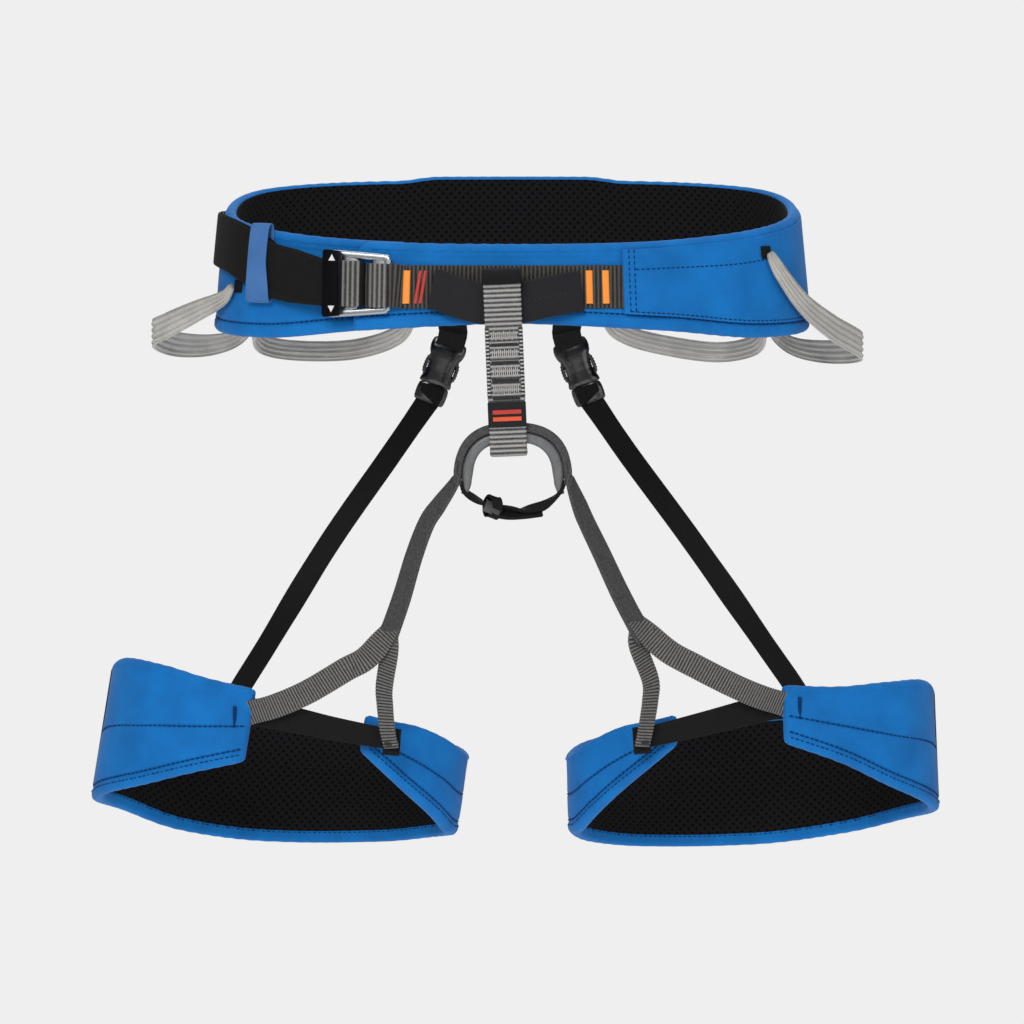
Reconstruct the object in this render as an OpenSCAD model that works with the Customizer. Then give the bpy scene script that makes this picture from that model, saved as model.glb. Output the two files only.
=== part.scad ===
// Sport climbing harness, shaped as it hangs on a standing wearer.
// Frame: +Z up, +X to the wearer's left, -Y to the front. The origin is the middle of the waist ring.
// Left and right are the wearer's.

/* [Waist belt] */
// Half the width of the waist ring, to the middle of the padding
waist_half_width = 184; // [178:1:190]
// Half the depth of the waist ring, to the middle of the padding
waist_half_depth = 90; // [86:1:94]
// Outward lean of the ring's wall, in millimetres per millimetre downwards
waist_flare = 0.1; // [0:0.01:0.12]
// Thickness of the padding with its shell and lining
pad_thickness = 7.2; // [6.6:0.1:7.4]
// Thickness of the shell fabric, and of the lining
skin_thickness = 1.2; // [1:0.1:1.5]
// Height of the tape sewn over each edge of the padding
tape_height = 3.5; // [2.5:0.5:5]

/* [Leg loops] */
// Half the width of a leg loop, to the middle of the padding
leg_half_width = 117; // [112:1:120]
// Half the depth of a leg loop, to the middle of the padding
leg_half_depth = 69; // [64:1:72]
// Distance from the middle of the harness to the middle of each leg loop
leg_spread = 153; // [150:1:158]

/* [Webbing] */
// Width of the tie-in webbing at the waist
tie_in_width = 27; // [24:1:28]
// Thickness of the load-bearing webbing
webbing_thickness = 1.8; // [1.4:0.1:2]
// Width of the belay loop
belay_width = 23; // [20:1:24]
// Thickness of the belay loop's sewn webbing
belay_thickness = 3.4; // [3:0.1:3.6]
// Width of the leg straps
leg_strap_width = 16; // [13:1:17]
// Width of the elastic risers behind the legs
riser_width = 15; // [12:1:17]

/* [Waist buckle] */
// Length of the buckle frame along the belt
buckle_length = 42; // [40:1:44]
// Height of the buckle frame at its wide end
buckle_height = 42; // [40:1:44]
// Thickness of the buckle frame
buckle_thickness = 2.4; // [2:0.1:2.6]

/* [Hidden] */

BLUE = "#1f6fc4";
DARK = "#2b2b2e";
GREY = "#5c5c60";
left = 1;
right = -1;
gap = 0.15;                       // space between layers that lie on each other
half_pad = pad_thickness / 2;
wrap = 8;                         // how far the front end of the pad stands outside the other end
pad_start = -26;                  // angle of the pad's outer end, in front of the right hip
pad_end = 344;                    // angle of the pad's inner end, under the buckle

// ---------- vectors, curves and lofts ----------

function unit(v) = v / norm(v);
function mix(a, b, t) = a + (b - a) * t;
function clamp01(t) = max(0, min(1, t));
function ease(t) = let (c = clamp01(t)) c * c * (3 - 2 * c);
function bent(v, power) = sign(v) * pow(abs(v), power);

// The row of a table that starts the stretch holding t, where column 0 rises.
function stretch(table, t, i = 0) =
  i >= len(table) - 2 || t < table[i + 1][0] ? i : stretch(table, t, i + 1);

// A smooth curve through column k of a table, by cubic Hermite pieces.
function through(table, t, k) =
  let (i = stretch(table, t), a = table[max(i - 1, 0)], b = table[i], c = table[i + 1],
       d = table[min(i + 2, len(table) - 1)], h = c[0] - b[0], u = (t - b[0]) / h,
       m0 = (c[k] - a[k]) / (c[0] - a[0]) * h, m1 = (d[k] - b[k]) / (d[0] - b[0]) * h)
  b[k] * (2 * u ^ 3 - 3 * u ^ 2 + 1) + m0 * (u ^ 3 - 2 * u ^ 2 + u)
  + c[k] * (3 * u ^ 2 - 2 * u ^ 3) + m1 * (u ^ 3 - u ^ 2);

// Catmull-Rom curve through control points, with that many steps between two of them.
function curve_point(p, i, u) =
  let (a = p[max(i - 1, 0)], b = p[i], c = p[i + 1], d = p[min(i + 2, len(p) - 1)])
  0.5 * (2 * b + (c - a) * u + (2 * a - 5 * b + 4 * c - d) * u ^ 2 + (3 * b - a - 3 * c + d) * u ^ 3);
function curve(p, steps) = concat(
  [for (i = [0 : len(p) - 2]) for (s = [0 : steps - 1]) curve_point(p, i, s / steps)],
  [p[len(p) - 1]]);

function middle(ring) = [for (k = [0 : 2]) [for (p = ring) p[k]] * [for (p = ring) 1] / len(ring)];
function facing(ring) =
  let (c = middle(ring), n = len(ring))
  [for (k = [0 : 2]) [for (j = [0 : n - 1]) cross(ring[j] - c, ring[(j + 1) % n] - c)[k]]
    * [for (j = [0 : n - 1]) 1]];

// Skin over a row of rings with equally many points. Works whichever way round the rings run.
module loft(rings, closed = false) {
  k = len(rings[0]);
  n = len(rings);
  ahead = facing(rings[0]) * (middle(rings[1]) - middle(rings[0])) > 0;
  sides = [for (i = [0 : n - (closed ? 1 : 2)]) for (j = [0 : k - 1])
    let (a = i * k + j, b = i * k + (j + 1) % k, d = ((i + 1) % n) * k + j, c = ((i + 1) % n) * k + (j + 1) % k)
    each [[a, d, c], [a, c, b]]];
  caps = closed ? [] : [for (j = [1 : k - 2])
    each [[0, j, j + 1], [(n - 1) * k, (n - 1) * k + j + 1, (n - 1) * k + j]]];
  faces = [for (f = concat(sides, caps)) ahead ? f : [f[2], f[1], f[0]]];
  polyhedron(points = [for (ring = rings) each ring], faces = faces, convexity = 8);
}

// Flat strap along a path. `up` is the direction of its width: one vector, or one for each point.
function strap_rings(path, width, thickness, up, closed = false) =
  let (n = len(path))
  [for (i = [0 : n - 1])
    let (before = closed ? path[(i + n - 1) % n] : path[max(i - 1, 0)],
         after = closed ? path[(i + 1) % n] : path[min(i + 1, n - 1)],
         along = unit(after - before),
         w_in = is_num(up[0]) ? up : up[i],
         out = unit(cross(along, w_in)), across = unit(cross(out, along)),
         w = is_num(width) ? width : width[i], a = across * w / 2, o = out * thickness / 2)
    [path[i] + a + o, path[i] - a + o, path[i] - a - o, path[i] + a - o]];
module strap(path, width, thickness, up = [0, 0, 1], closed = false)
  loft(strap_rings(path, width, thickness, up, closed), closed);

// Round or oval tube along a path in the plane across `side`.
module tube(path, r_side, r_up, side, sides = 8) {
  n = len(path);
  rings = [for (i = [0 : n - 1])
    let (along = unit(path[min(i + 1, n - 1)] - path[max(i - 1, 0)]), up = unit(cross(along, side)))
    [for (j = [0 : sides - 1]) path[i] + r_side * cos(360 * j / sides) * side + r_up * sin(360 * j / sides) * up]];
  loft(rings);
}

// Outline of a rectangle that tapers from height h0 at -x to h1 at +x, with round corners.
function rounded(length, h0, h1, r) =
  let (steps = 6, corners = [[length / 2 - r, h1 / 2 - r, 0], [r - length / 2, h0 / 2 - r, 90],
    [r - length / 2, r - h0 / 2, 180], [length / 2 - r, r - h1 / 2, 270]])
  [for (c = corners) for (s = [0 : steps])
    [c[0] + r * cos(c[2] + 90 * s / steps), c[1] + r * sin(c[2] + 90 * s / steps)]];

// ---------- waist ring ----------
// Angles run round the ring from the front middle (0) past the left hip (90) to the back (180).

bottom_edge = [[-10, -34], [0, -34], [25, -39], [50, -45], [90, -43], [135, -38], [180, -36], [190, -36]];

function folded_angle(t) = let (a = ((t % 360) + 360) % 360) a > 180 ? 360 - a : a;

// Exponent of the ring's outline: 2 is an ellipse, and more is squarer. The back is squarer than the front.
function waist_round(t) = mix(2.4, 3, ease((folded_angle(t) - 75) / 50));
function backness(t) = (1 - bent(cos(t), 2 / waist_round(t))) / 2;
function waist_top(t) =
  mix(14, 49.5, backness(t)) + 2.5 * sin(180 * backness(t)) + 2.5 * ease((folded_angle(t) - 164) / 8);
function waist_bottom(t) = through(bottom_edge, folded_angle(t), 1);

// How far the pad stands out of the ring's middle line: its front end wraps over its other end.
function pad_shift(t) = wrap * (1 - ease((t - 18) / 24));

// A point of the waist ring at an angle and height, `out` outside the middle line of the padding.
function waist_ring(t, z, out) =
  let (a = waist_half_width - waist_flare * z + out, b = waist_half_depth - waist_flare * z + out)
  [a * bent(sin(t), 2 / waist_round(t)), -b * bent(cos(t), 2 / waist_round(t)), z];

// Which way is up along the ring's leaning wall.
function wall_up(t) = unit(waist_ring(t, 1, 0) - waist_ring(t, 0, 0));

// A layer of the pad between two distances from its middle line, trimmed below its top and above its bottom.
module waist_layer(from_out, to_out, trim, t0 = pad_start, t1 = pad_end, steps = 74) {
  loft([for (i = [0 : steps])
    let (t = mix(t0, t1, i / steps), s = pad_shift(t), lo = waist_bottom(t) + trim, hi = waist_top(t) - trim)
    [waist_ring(t, lo, s + from_out), waist_ring(t, lo, s + to_out),
     waist_ring(t, hi, s + to_out), waist_ring(t, hi, s + from_out)]]);
}

// Tape along the top or bottom edge of the pad.
module waist_tape(top, steps = 74) {
  loft([for (i = [0 : steps])
    let (t = mix(pad_start, pad_end, i / steps), s = pad_shift(t), r = half_pad + 0.2,
         lo = top ? waist_top(t) - tape_height : waist_bottom(t), hi = lo + tape_height)
    [waist_ring(t, lo, s - r), waist_ring(t, lo, s + r), waist_ring(t, hi, s + r), waist_ring(t, hi, s - r)]]);
}

module waist_shell() color(BLUE) waist_layer(half_pad - skin_thickness, half_pad, tape_height + gap);
module waist_foam() color("#8a8a86")
  waist_layer(skin_thickness + gap - half_pad, half_pad - skin_thickness - gap, tape_height + 2 * gap);
module waist_lining() color("#1a1a1d") waist_layer(-half_pad, skin_thickness - half_pad, tape_height + gap);
module waist_top_tape() color(BLUE) waist_tape(true);
module waist_bottom_tape() color(BLUE) waist_tape(false);

// Second layer of fabric on the left hip. The tie-in webbing runs in under its front edge.
cover_start = 17.5;
cover_end = 118;
module side_cover() color(BLUE)
  loft([for (i = [0 : 30])
    let (t = mix(cover_start, cover_end, i / 30), s = pad_shift(t) + half_pad + mix(2.5, 0.4, ease((t - 22) / 10)),
         lo = waist_bottom(t) + tape_height + 3, hi = waist_top(t) - tape_height - 0.5)
    [waist_ring(t, lo, s), waist_ring(t, lo, s + 1), waist_ring(t, hi, s + 1), waist_ring(t, hi, s)]]);

// ---------- waist buckle and its webbing ----------
// The buckle lies flat on the belt, in a plane of its own: x along the belt, -y outwards, z up the wall.

buckle_at = [-95.5, -98.9, -10];
buckle_turn = -12.4;
buckle_lean = -atan(waist_flare) * 0.85;
slot_height = 31;
slider_length = 12;
function buckle_vector(p) =
  let (y = p[1] * cos(buckle_lean) - p[2] * sin(buckle_lean), z = p[1] * sin(buckle_lean) + p[2] * cos(buckle_lean))
  [p[0] * cos(buckle_turn) - y * sin(buckle_turn), p[0] * sin(buckle_turn) + y * cos(buckle_turn), z];
function at_buckle(p) = buckle_at + buckle_vector(p);
module in_buckle() translate(buckle_at) rotate([buckle_lean, 0, buckle_turn]) children();

// Plate standing in the buckle's plane, from an outline in x and z.
module plate(outline, thickness, y = 0)
  translate([0, y + thickness / 2, 0]) rotate([90, 0, 0]) linear_extrude(thickness) polygon(outline);

// Frame with a slot for the end of the strap and one that both webbings turn down into.
module buckle_frame() color("#8d9093") in_buckle() difference() {
  plate(rounded(buckle_length, buckle_height, buckle_height - 5, 4), buckle_thickness);
  translate([-14.75, 0, 0]) cube([5.5, 10, slot_height + 4], center = true);
  translate([4, 0, 0]) cube([8, 10, slot_height], center = true);
}

// Locking bar over the end of the strap. Its free edge lifts to let the strap out.
module buckle_slider() color("#1c1c1e") in_buckle() translate([-buckle_length / 2 + slider_length / 2 - 0.5, 0, 0]) {
  plate(rounded(slider_length, buckle_height, buckle_height - 1.5, 2), 2.2, -5.8);
  translate([slider_length / 2 - 1.5, -5.8, 0]) cylinder(h = buckle_height - 8, r = 1.4, center = true, $fn = 24);
}

// The strap leaves the right hip, runs under the buckle, turns round its bar and comes back as the tail.
strap_rise = [[-100, 15], [-88, 15], [-76, 13.5], [-64, 10], [-55, 3.5], [-47, -4], [-38, -8.5], [-30, -9.5]];
function strap_height(t) = through(strap_rise, t, 1);
function on_right_hip(t, out) = waist_ring(t, strap_height(t), half_pad + out);
strap_path = concat(
  [for (t = [-98 : 5 : -48]) on_right_hip(t, mix(2.7, 1.5, ease((-t - 60) / 15)))],
  [for (p = [[-17, 5.5], [-10, 3.2], [-2, 2.7], [2, 2.2], [3.4, 0.4], [2, -1.8], [-2, -2.6], [-8, -2.7], [-16, -2.7],
             [-23, -2.6]]) at_buckle([p[0], p[1], 0])],
  [for (t = [-48 : -5 : -88]) on_right_hip(t, mix(5.6, 3.9, ease((-t - 60) / 15)))]);
strap_widths = [for (p = strap_path) mix(28, 33, clamp01((-p[0] - 118) / 20))];
strap_ups = [for (p = strap_path) mix(buckle_vector([0, 0, 1]), [0.1 * -sign(p[0]), 0.05, 1], clamp01((-p[0] - 118) / 30))];
module waist_strap() color(DARK) strap(strap_path, strap_widths, webbing_thickness, strap_ups);

// Ribbed webbing across the front, sewn round the buckle's other bar.
tie_in_height = -11.8;
function on_front(t, out) = waist_ring(t, tie_in_height, pad_shift(t) + half_pad + out);
tie_in_path = concat(
  [for (p = [[25, 2.5], [18, 2.5], [12, 2.5], [7, 2.3], [5.5, 0], [7, -2.2], [12, -2.5], [18, -2.5], [23.5, -2.3]])
    at_buckle([p[0], p[1], -1])],
  [for (t = [-15.5 : 2.6 : 20.9]) on_front(t, tie_in_out(t))]);
function tie_in_out(t) = mix(3, 1.2, ease((t + 15.5) / 7));
tie_in_ups = [for (p = tie_in_path) mix(buckle_vector([0, 0, 1]), wall_up(0), clamp01((p[0] + 68) / 12))];
module tie_in_webbing() color(GREY) strap(tie_in_path, tie_in_width, webbing_thickness, tie_in_ups);

// Upper tie-in point: a doubled, covered strap that bows out of the belt.
sleeve_thickness = 3.6;
sleeve_points = [[-50, -106.9, -12.8], [-44, -108.6, -14], [-34, -112.3, -17.5], [-20, -116, -21], [-6, -117, -22],
                 [7, -116, -20.5], [24, -112.8, -17], [37, -109, -14.8], [43.5, -106.9, -14.1]];
module tie_in_sleeve() color(DARK) strap(curve(sleeve_points, 4), 25.5, sleeve_thickness, wall_up(0));

// Bar tacks: dense rows of coloured stitches, two at each end of the upper tie-in point.
bartack_places = [[-63.3, 0], [-56, 8], [47.6, 0], [56.4, 0]];
module tie_in_bartacks() color("#f08a24") for (b = bartack_places) {
  t = asin(bent(b[0] / (waist_half_width + wrap + half_pad + 2), 1.2));
  translate(on_front(t, tie_in_out(t) + 1.8)) rotate([-atan(waist_flare), b[1], b[0] / 10]) cube([3, 0.9, 20], center = true);
}

// ---------- keeper, haul loop ----------

// Elastic sleeve round the strap and its tail.
keeper_angle = -53;
keeper_length = 14;
keeper_wall = 0.8;
module band(length, thickness, height) rotate([90, 0, 90]) translate([0, 0, -length / 2])
  linear_extrude(length) polygon(rounded(thickness, height, height, thickness / 3));
module strap_keeper() {
  c = waist_ring(keeper_angle, 1.5, half_pad + 4.2);
  slope = waist_ring(keeper_angle + 3, 0, 0) - waist_ring(keeper_angle - 3, 0, 0);
  color("#3f6fae") translate(c) rotate([-atan(waist_flare), 0, atan2(slope[1], slope[0])]) difference() {
    band(keeper_length, 8, 50);
    band(keeper_length + 2, 8 - 2 * keeper_wall, 50 - 2 * keeper_wall);
  }
}

// Short webbing loop at the back of the belt. It folds up from where it hangs.
haul_drop = 26;

function haul_point(s) = let (t = 180 + mix(-4, 4, s))
  waist_ring(t, 8 - haul_drop * pow(sin(180 * s), 0.7), half_pad + 2 + 11 * pow(sin(180 * s), 0.8));
module haul_loop() {
  path = [for (i = [0 : 20]) haul_point(i / 20)];
  color(DARK) strap(path, 10, webbing_thickness,
                    [for (i = [0 : 20]) cross([0, 1, 0], path[min(i + 1, 20)] - path[max(i - 1, 0)])]);
}

// ---------- gear loops ----------
// Moulded strips, narrow where they enter the belt and broad in the middle. Each is two ends on the belt,
// as angle and height, then the points between them and the broadest width.

gear_front_left = [[55, 8], [125, -34], [[171, -60, -7], [186, -46, -26], [206, -20, -42], [227, 12, -56],
                   [212, 36, -61], [190, 62, -60], [177, 76, -52]], 17];
gear_front_right = [[-64, -14], [-125, -34], [[-184, -42, -22], [-202, -25, -31], [-222, -6, -41], [-233, 15, -48],
                    [-221, 38, -56], [-199, 62, -58], [-181, 76, -52]], 17];
gear_rear_left = [[129, -18], [169, -20], [[168, 92, -41], [169, 105, -54], [161, 116, -63], [138, 125, -67],
                  [104, 126, -62.5], [78, 117, -55], [65, 105, -44]], 14];
gear_rear_right = [[-129, -18], [-168, -20], [[-170, 92, -41], [-173, 105, -53], [-166, 116, -62], [-144, 125, -66],
                   [-110, 126, -65.5], [-83, 117, -58], [-70, 105, -46]], 14];
gear_end_out = 5;
gear_thickness = 3.4;
function gear_end(e) = waist_ring(e[0], e[1], half_pad + gear_end_out);
function gear_path(g) = curve(concat([gear_end(g[0])], g[2], [gear_end(g[1])]), 4);
function gear_width(g, s) = mix(4, g[3], pow(sin(180 * s), 0.55));
module gear_loop(g) {
  path = gear_path(g);
  n = len(path) - 1;
  color("#a7a6a2") loft([for (i = [0 : n])
    let (along = unit(path[min(i + 1, n)] - path[max(i - 1, 0)]), out = unit(cross(along, [0, 0, 1])),
         across = unit(cross(out, along)), w = gear_width(g, i / n) / 2,
         r = gear_thickness / 2 * mix(0.75, 1, sin(180 * i / n)))
    [for (c = [[w - 1, r], [1 - w, r], [-w, 0], [1 - w, -r], [w - 1, -r], [w, 0]])
      path[i] + across * c[0] + out * c[1]]]);
}

// Stitched tabs that hold the ends of the gear loops to the belt.
module gear_loop_tabs() color(DARK) for (g = [gear_front_left, gear_front_right, gear_rear_left, gear_rear_right])
  for (e = [g[0], g[1]]) {
    side = waist_ring(e[0] + 2, e[1], half_pad) - waist_ring(e[0] - 2, e[1], half_pad);
    on_cover = e[0] > cover_start && e[0] < cover_end;
    translate(waist_ring(e[0], e[1], half_pad + (on_cover ? 2.3 : 0.8)))
      rotate([-atan(waist_flare), 0, atan2(side[1], side[0])]) cube([8, 0.9, 9], center = true);
  }

// ---------- belay loop ----------
// A closed loop of sewn webbing: over the upper tie-in point, under the arch of the lower one.

belay_top = [-6.5, -117, -3];
belay_bottom = [-2, -117, -114];
belay_half_gap = 9;
belay_side = unit(cross([0, 1, 0], belay_top - belay_bottom));
function belay_point(s, out) =        // s from 0 to 1 round the loop, from the bottom up the front
  let (a = 360 * s, span = (1 - cos(a)) / 2, bulge = bent(sin(a), 0.45), reach = belay_half_gap + out,
       end = mix(belay_bottom, belay_top, span))
  end + [0, -reach * bulge, 0] + unit(belay_top - belay_bottom) * out * (span < 0.5 ? -1 : 1)
    * (1 - abs(bulge));
belay_path = [for (i = [0 : 47]) belay_point(i / 48, 0)];
module belay_loop() color(GREY)
  strap(belay_path, belay_width, belay_thickness, [for (p = belay_path) belay_side], closed = true);

// Blocks of dense stitching on the front of the loop.
belay_tack_heights = [-46, -58.5, -71];
function belay_front(z, out) =
  mix(belay_bottom, belay_top, (z - belay_bottom[2]) / (belay_top[2] - belay_bottom[2]))
  - [0, belay_half_gap + belay_thickness / 2 + out, 0];
belay_turn = atan2(belay_bottom[0] - belay_top[0], belay_top[2] - belay_bottom[2]);
module belay_loop_bartacks() color("#6e6e72") for (z = belay_tack_heights)
  translate(belay_front(z, 0.75)) rotate([0, belay_turn, 0]) cube([17, 0.9, 7], center = true);
module belay_loop_label() color("#3a3a40")
  translate(belay_front(-90, 0.7)) rotate([0, belay_turn, 0]) cube([belay_width - 1, 0.8, 11], center = true);

// ---------- lower tie-in point ----------
// The webbing of both leg loops meets in an arch through the belay loop, with a sleeve against the rope's rubbing.

arch_middle = [0.5, -117, -131.5];
arch_half_width = 28.5;
arch_height = 28;
arch_round = 2.6;
sleeve_r = 4;
function arch_point(a, out) = arch_middle
  + [(arch_half_width + out) * bent(sin(a), 2 / arch_round), 0, (arch_height + out) * bent(cos(a), 2 / arch_round)];
module arch_sleeve() color("#77787c")
  tube([for (a = [-93 : 6.2 : 93]) arch_point(a, 0)], sleeve_r, sleeve_r, [0, 1, 0], 10);
module arch_webbing() color(GREY)
  strap([for (a = [-92 : 184 / 28 : 92.1]) arch_point(a, sleeve_r + 1.7)], 11, 2.8, [0, 1, 0]);

// Light elastic strap that closes the ring under the arch, with its small slider.
link_points = [[-29, -117, -138.5], [-22, -117.5, -143], [-15, -118, -146.3], [-8, -118, -149], [4, -118, -149.5],
               [17, -118, -147.5], [25, -117.5, -143], [30, -117, -138.5]];
link_width = 8;
module link_strap() color(DARK) strap(curve(link_points, 4), link_width, 1.6, [0, 1, 0]);
link_slider_at = [-12, -118, -147.5];
module link_slider() color("#1c1c1e") translate(link_slider_at) rotate([0, 21, 0]) difference() {
  cube([11, 12, 8], center = true);
  cube([20, link_width + 1.4, 4.8], center = true);
}

// ---------- leg straps ----------

upper_right = [[-39.5, -117, -138], [-45, -114.5, -146], [-53, -111, -158], [-61, -107, -179], [-69, -103, -206],
               [-77, -99.5, -229]];
upper_left = [[38, -117, -138], [41.5, -114.5, -146], [46.5, -111, -158], [56, -107, -178], [67.5, -103, -203],
              [79, -99.5, -225]];
outer_right = [[-80, -98.5, -236], [-90, -97, -243.5], [-105, -96, -252.5], [-129, -94.5, -267.5], [-150, -93, -277.5],
               [-166, -90.5, -283]];
outer_left = [[85, -98.5, -232], [96, -97, -239], [116, -96, -250.5], [141, -94.5, -264], [158, -93, -272],
              [171, -90.5, -277]];
inner_right = [[-79.5, -98, -254], [-80.3, -96.8, -263], [-80, -95.5, -275], [-78.5, -94.3, -291], [-76, -93.5, -303]];
inner_left = [[85.5, -98, -250], [87, -96.8, -259], [87, -95.5, -272], [84.5, -94.3, -289], [82, -93.5, -302]];

// The upper strap is seen nearly edge on and turns flat towards the fork.
module leg_strap(points, turn) color(GREY) {
  path = curve(points, 5);
  n = len(path) - 1;
  strap(path, leg_strap_width, webbing_thickness,
        [for (i = [0 : n]) let (t = mix(62, 44, i / n)) [turn * cos(t), sin(t), 0.35 * cos(t)]]);
}
module leg_branch_outer(points) color(GREY)
  strap(curve(points, 4), leg_strap_width, webbing_thickness, [0.5 * sign(points[0][0]), 0, 0.85]);
module leg_branch_inner(points, turn) color(GREY) {
  path = curve(points, 4);
  n = len(path) - 1;
  strap(path, [for (i = [0 : n]) mix(leg_strap_width, 12, i / n)], webbing_thickness,
        [for (i = [0 : n]) let (t = mix(44, 30, i / n)) [turn * cos(t), sin(t), 0]]);
}

// ---------- leg loops ----------
// Angles run round each loop from its front (0) over the outside of the thigh (90) to the back (180).
// angle, height of the top edge, height of the bottom edge

right_edges = [[6, -270, -312], [25, -263, -321], [45, -256, -331], [70, -255, -341], [90, -264, -350],
               [120, -286, -362], [150, -303, -380], [180, -311, -389], [215, -316, -387], [245, -319, -379],
               [270, -320, -372], [285, -315, -367], [300, -305, -354], [316, -295, -337], [328, -290, -321],
               [338, -285, -306]];
left_edges = [[6, -266, -301], [25, -268, -315], [45, -267, -332], [70, -269, -347], [90, -279, -357],
              [120, -294, -368], [150, -303, -382], [180, -309, -391], [215, -314, -390], [245, -318, -382],
              [270, -321, -371], [285, -316, -366], [300, -306, -352], [316, -295, -333], [328, -290, -317],
              [338, -285, -302]];
leg_level = -330;
leg_forward = -12.5;
leg_lean_back = 0.12;             // the loop's wall leans back with height, as a thigh does
function edges(side) = side == left ? left_edges : right_edges;
function leg_lean_out(side) = side == left ? 0.04 : 0.16;
function leg_middle(side) = side == left ? leg_spread + 3 : leg_spread - 3;

leg_start = 7;
leg_end = 337;
function leg_ring(side, t, z, out) =
  let (dz = z - leg_level)
  [side * (leg_middle(side) - leg_lean_out(side) * dz + (leg_half_width + out) * bent(sin(t), 0.91)),
   leg_forward + leg_lean_back * dz - (leg_half_depth + out) * bent(cos(t), 0.91), z];
module leg_layer(side, from_out, to_out, trim, steps = 52)
  loft([for (i = [0 : steps])
    let (t = mix(leg_start, leg_end, i / steps), hi = through(edges(side), t, 1) - trim,
         lo = through(edges(side), t, 2) + trim)
    [leg_ring(side, t, lo, from_out), leg_ring(side, t, lo, to_out),
     leg_ring(side, t, hi, to_out), leg_ring(side, t, hi, from_out)]]);
module leg_tape(side, top, steps = 52)
  loft([for (i = [0 : steps])
    let (t = mix(leg_start, leg_end, i / steps), r = half_pad + 0.2,
         lo = top ? through(edges(side), t, 1) - tape_height : through(edges(side), t, 2), hi = lo + tape_height)
    [leg_ring(side, t, lo, -r), leg_ring(side, t, lo, r), leg_ring(side, t, hi, r), leg_ring(side, t, hi, -r)]]);
module leg_shell(side) color(BLUE) leg_layer(side, half_pad - skin_thickness, half_pad, tape_height + gap);
module leg_foam(side) color("#8a8a86")
  leg_layer(side, skin_thickness + gap - half_pad, half_pad - skin_thickness - gap, tape_height + 3 * gap);
module leg_lining(side) color("#1a1a1d") leg_layer(side, -half_pad, skin_thickness - half_pad, tape_height + gap);

// Elastic across the front of each loop, which takes up the size of the thigh.
elastic_right = [[-163, -86.5, -282], [-140, -85.5, -286.5], [-115, -84.5, -291.5], [-92, -84, -296], [-74, -84, -299]];
elastic_left = [[167, -86.5, -277.5], [146, -85.5, -283], [122, -84.5, -288.5], [100, -84, -294], [81, -84, -298.5]];
module leg_elastic(points) color("#1a1a1d")
  strap(curve(points, 4), [for (i = [0 : 16]) mix(19, 13.5, i / 16)], 1.4, [0, 0, 1]);

// Rows of stitches that fasten the straps to the ends of the pad.
module leg_bartacks(side) color("#3a3a40") {
  outer = side == left ? outer_left : outer_right;
  inner = side == left ? inner_left : inner_right;
  translate(outer[5] - [side * 3, 3.2, -1]) cube([2.4, 0.9, 13], center = true);
  translate(inner[4] - [0, 6.2, -3]) cube([8, 0.9, 2.4], center = true);
}

// ---------- risers ----------
// Each riser hangs from a tab on the back of the belt by a clip, and ends on the back of the leg loop.

riser_out = 4.6;                  // clearance of the strap's middle outside the leg loop's padding
tab_width = 19;
clip_tilt = 21;
clip_left = [39, 94, -61];
clip_right = [-42, 94, -61];
function clip_at(side) = side == left ? clip_left : clip_right;
module at_clip(side) translate(clip_at(side)) rotate([0, side * -clip_tilt, 0]) children();

tab_points = [[4.5, 27], [4.7, 19], [4.9, 10], [4.6, 4], [3.9, -0.2], [1.8, -1.6], [-0.3, -0.2], [-0.9, 4], [-1, 10]];
function tab_turn(side, z) = side * -clip_tilt * (1 - ease((z - 3) / 20));
module riser_tab(side) color(DARK)
  strap([for (p = tab_points) let (a = tab_turn(side, p[1])) clip_at(side) + [p[1] * sin(a), p[0], p[1] * cos(a)]],
        tab_width, webbing_thickness, [for (p = tab_points) let (a = tab_turn(side, p[1])) [cos(a), 0, -sin(a)]]);

// Socket half of the clip: a crossbar for the tab over a flat shell with a mouth for the hook.
socket_length = 22;
socket_width = 24;
module riser_socket(side) color("#18181a") at_clip(side) difference() {
  union() {
    translate([0, 1.8, 1.5]) rotate([0, 90, 0]) cylinder(h = socket_width, r = 1.2, center = true, $fn = 20);
    for (x = [-1, 1]) translate([x * (socket_width / 2 - 0.9), 1.8, -2]) cube([1.8, 3.4, 9], center = true);
    translate([0, 1.8, -5 - socket_length / 2]) cube([socket_width, 6.4, socket_length], center = true);
  }
  translate([0, 1.8, -8 - socket_length / 2]) cube([socket_width - 4.5, 3.6, socket_length], center = true);
  for (x = [-1, 1]) translate([x * socket_width / 2, 1.8, -17]) cube([4, 3.6, 9], center = true);
}

// Hook half: two side prongs and a tongue on a frame with the bar that the riser is sewn round.
module riser_hook(side) color("#18181a") at_clip(side) translate([0, 1.8, 0]) {
  for (x = [-1, 1]) translate([x * 7.2, 0, -17.5]) cube([3, 2.8, 19], center = true);
  translate([0, 0, -18.5]) cube([3, 2.8, 17], center = true);
  difference() {
    translate([0, 0, -33.5]) cube([socket_width - 2, 5.2, 13], center = true);
    translate([0, 0, -34.4]) cube([riser_width + 1.4, 10, 7.6], center = true);
  }
}

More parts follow.
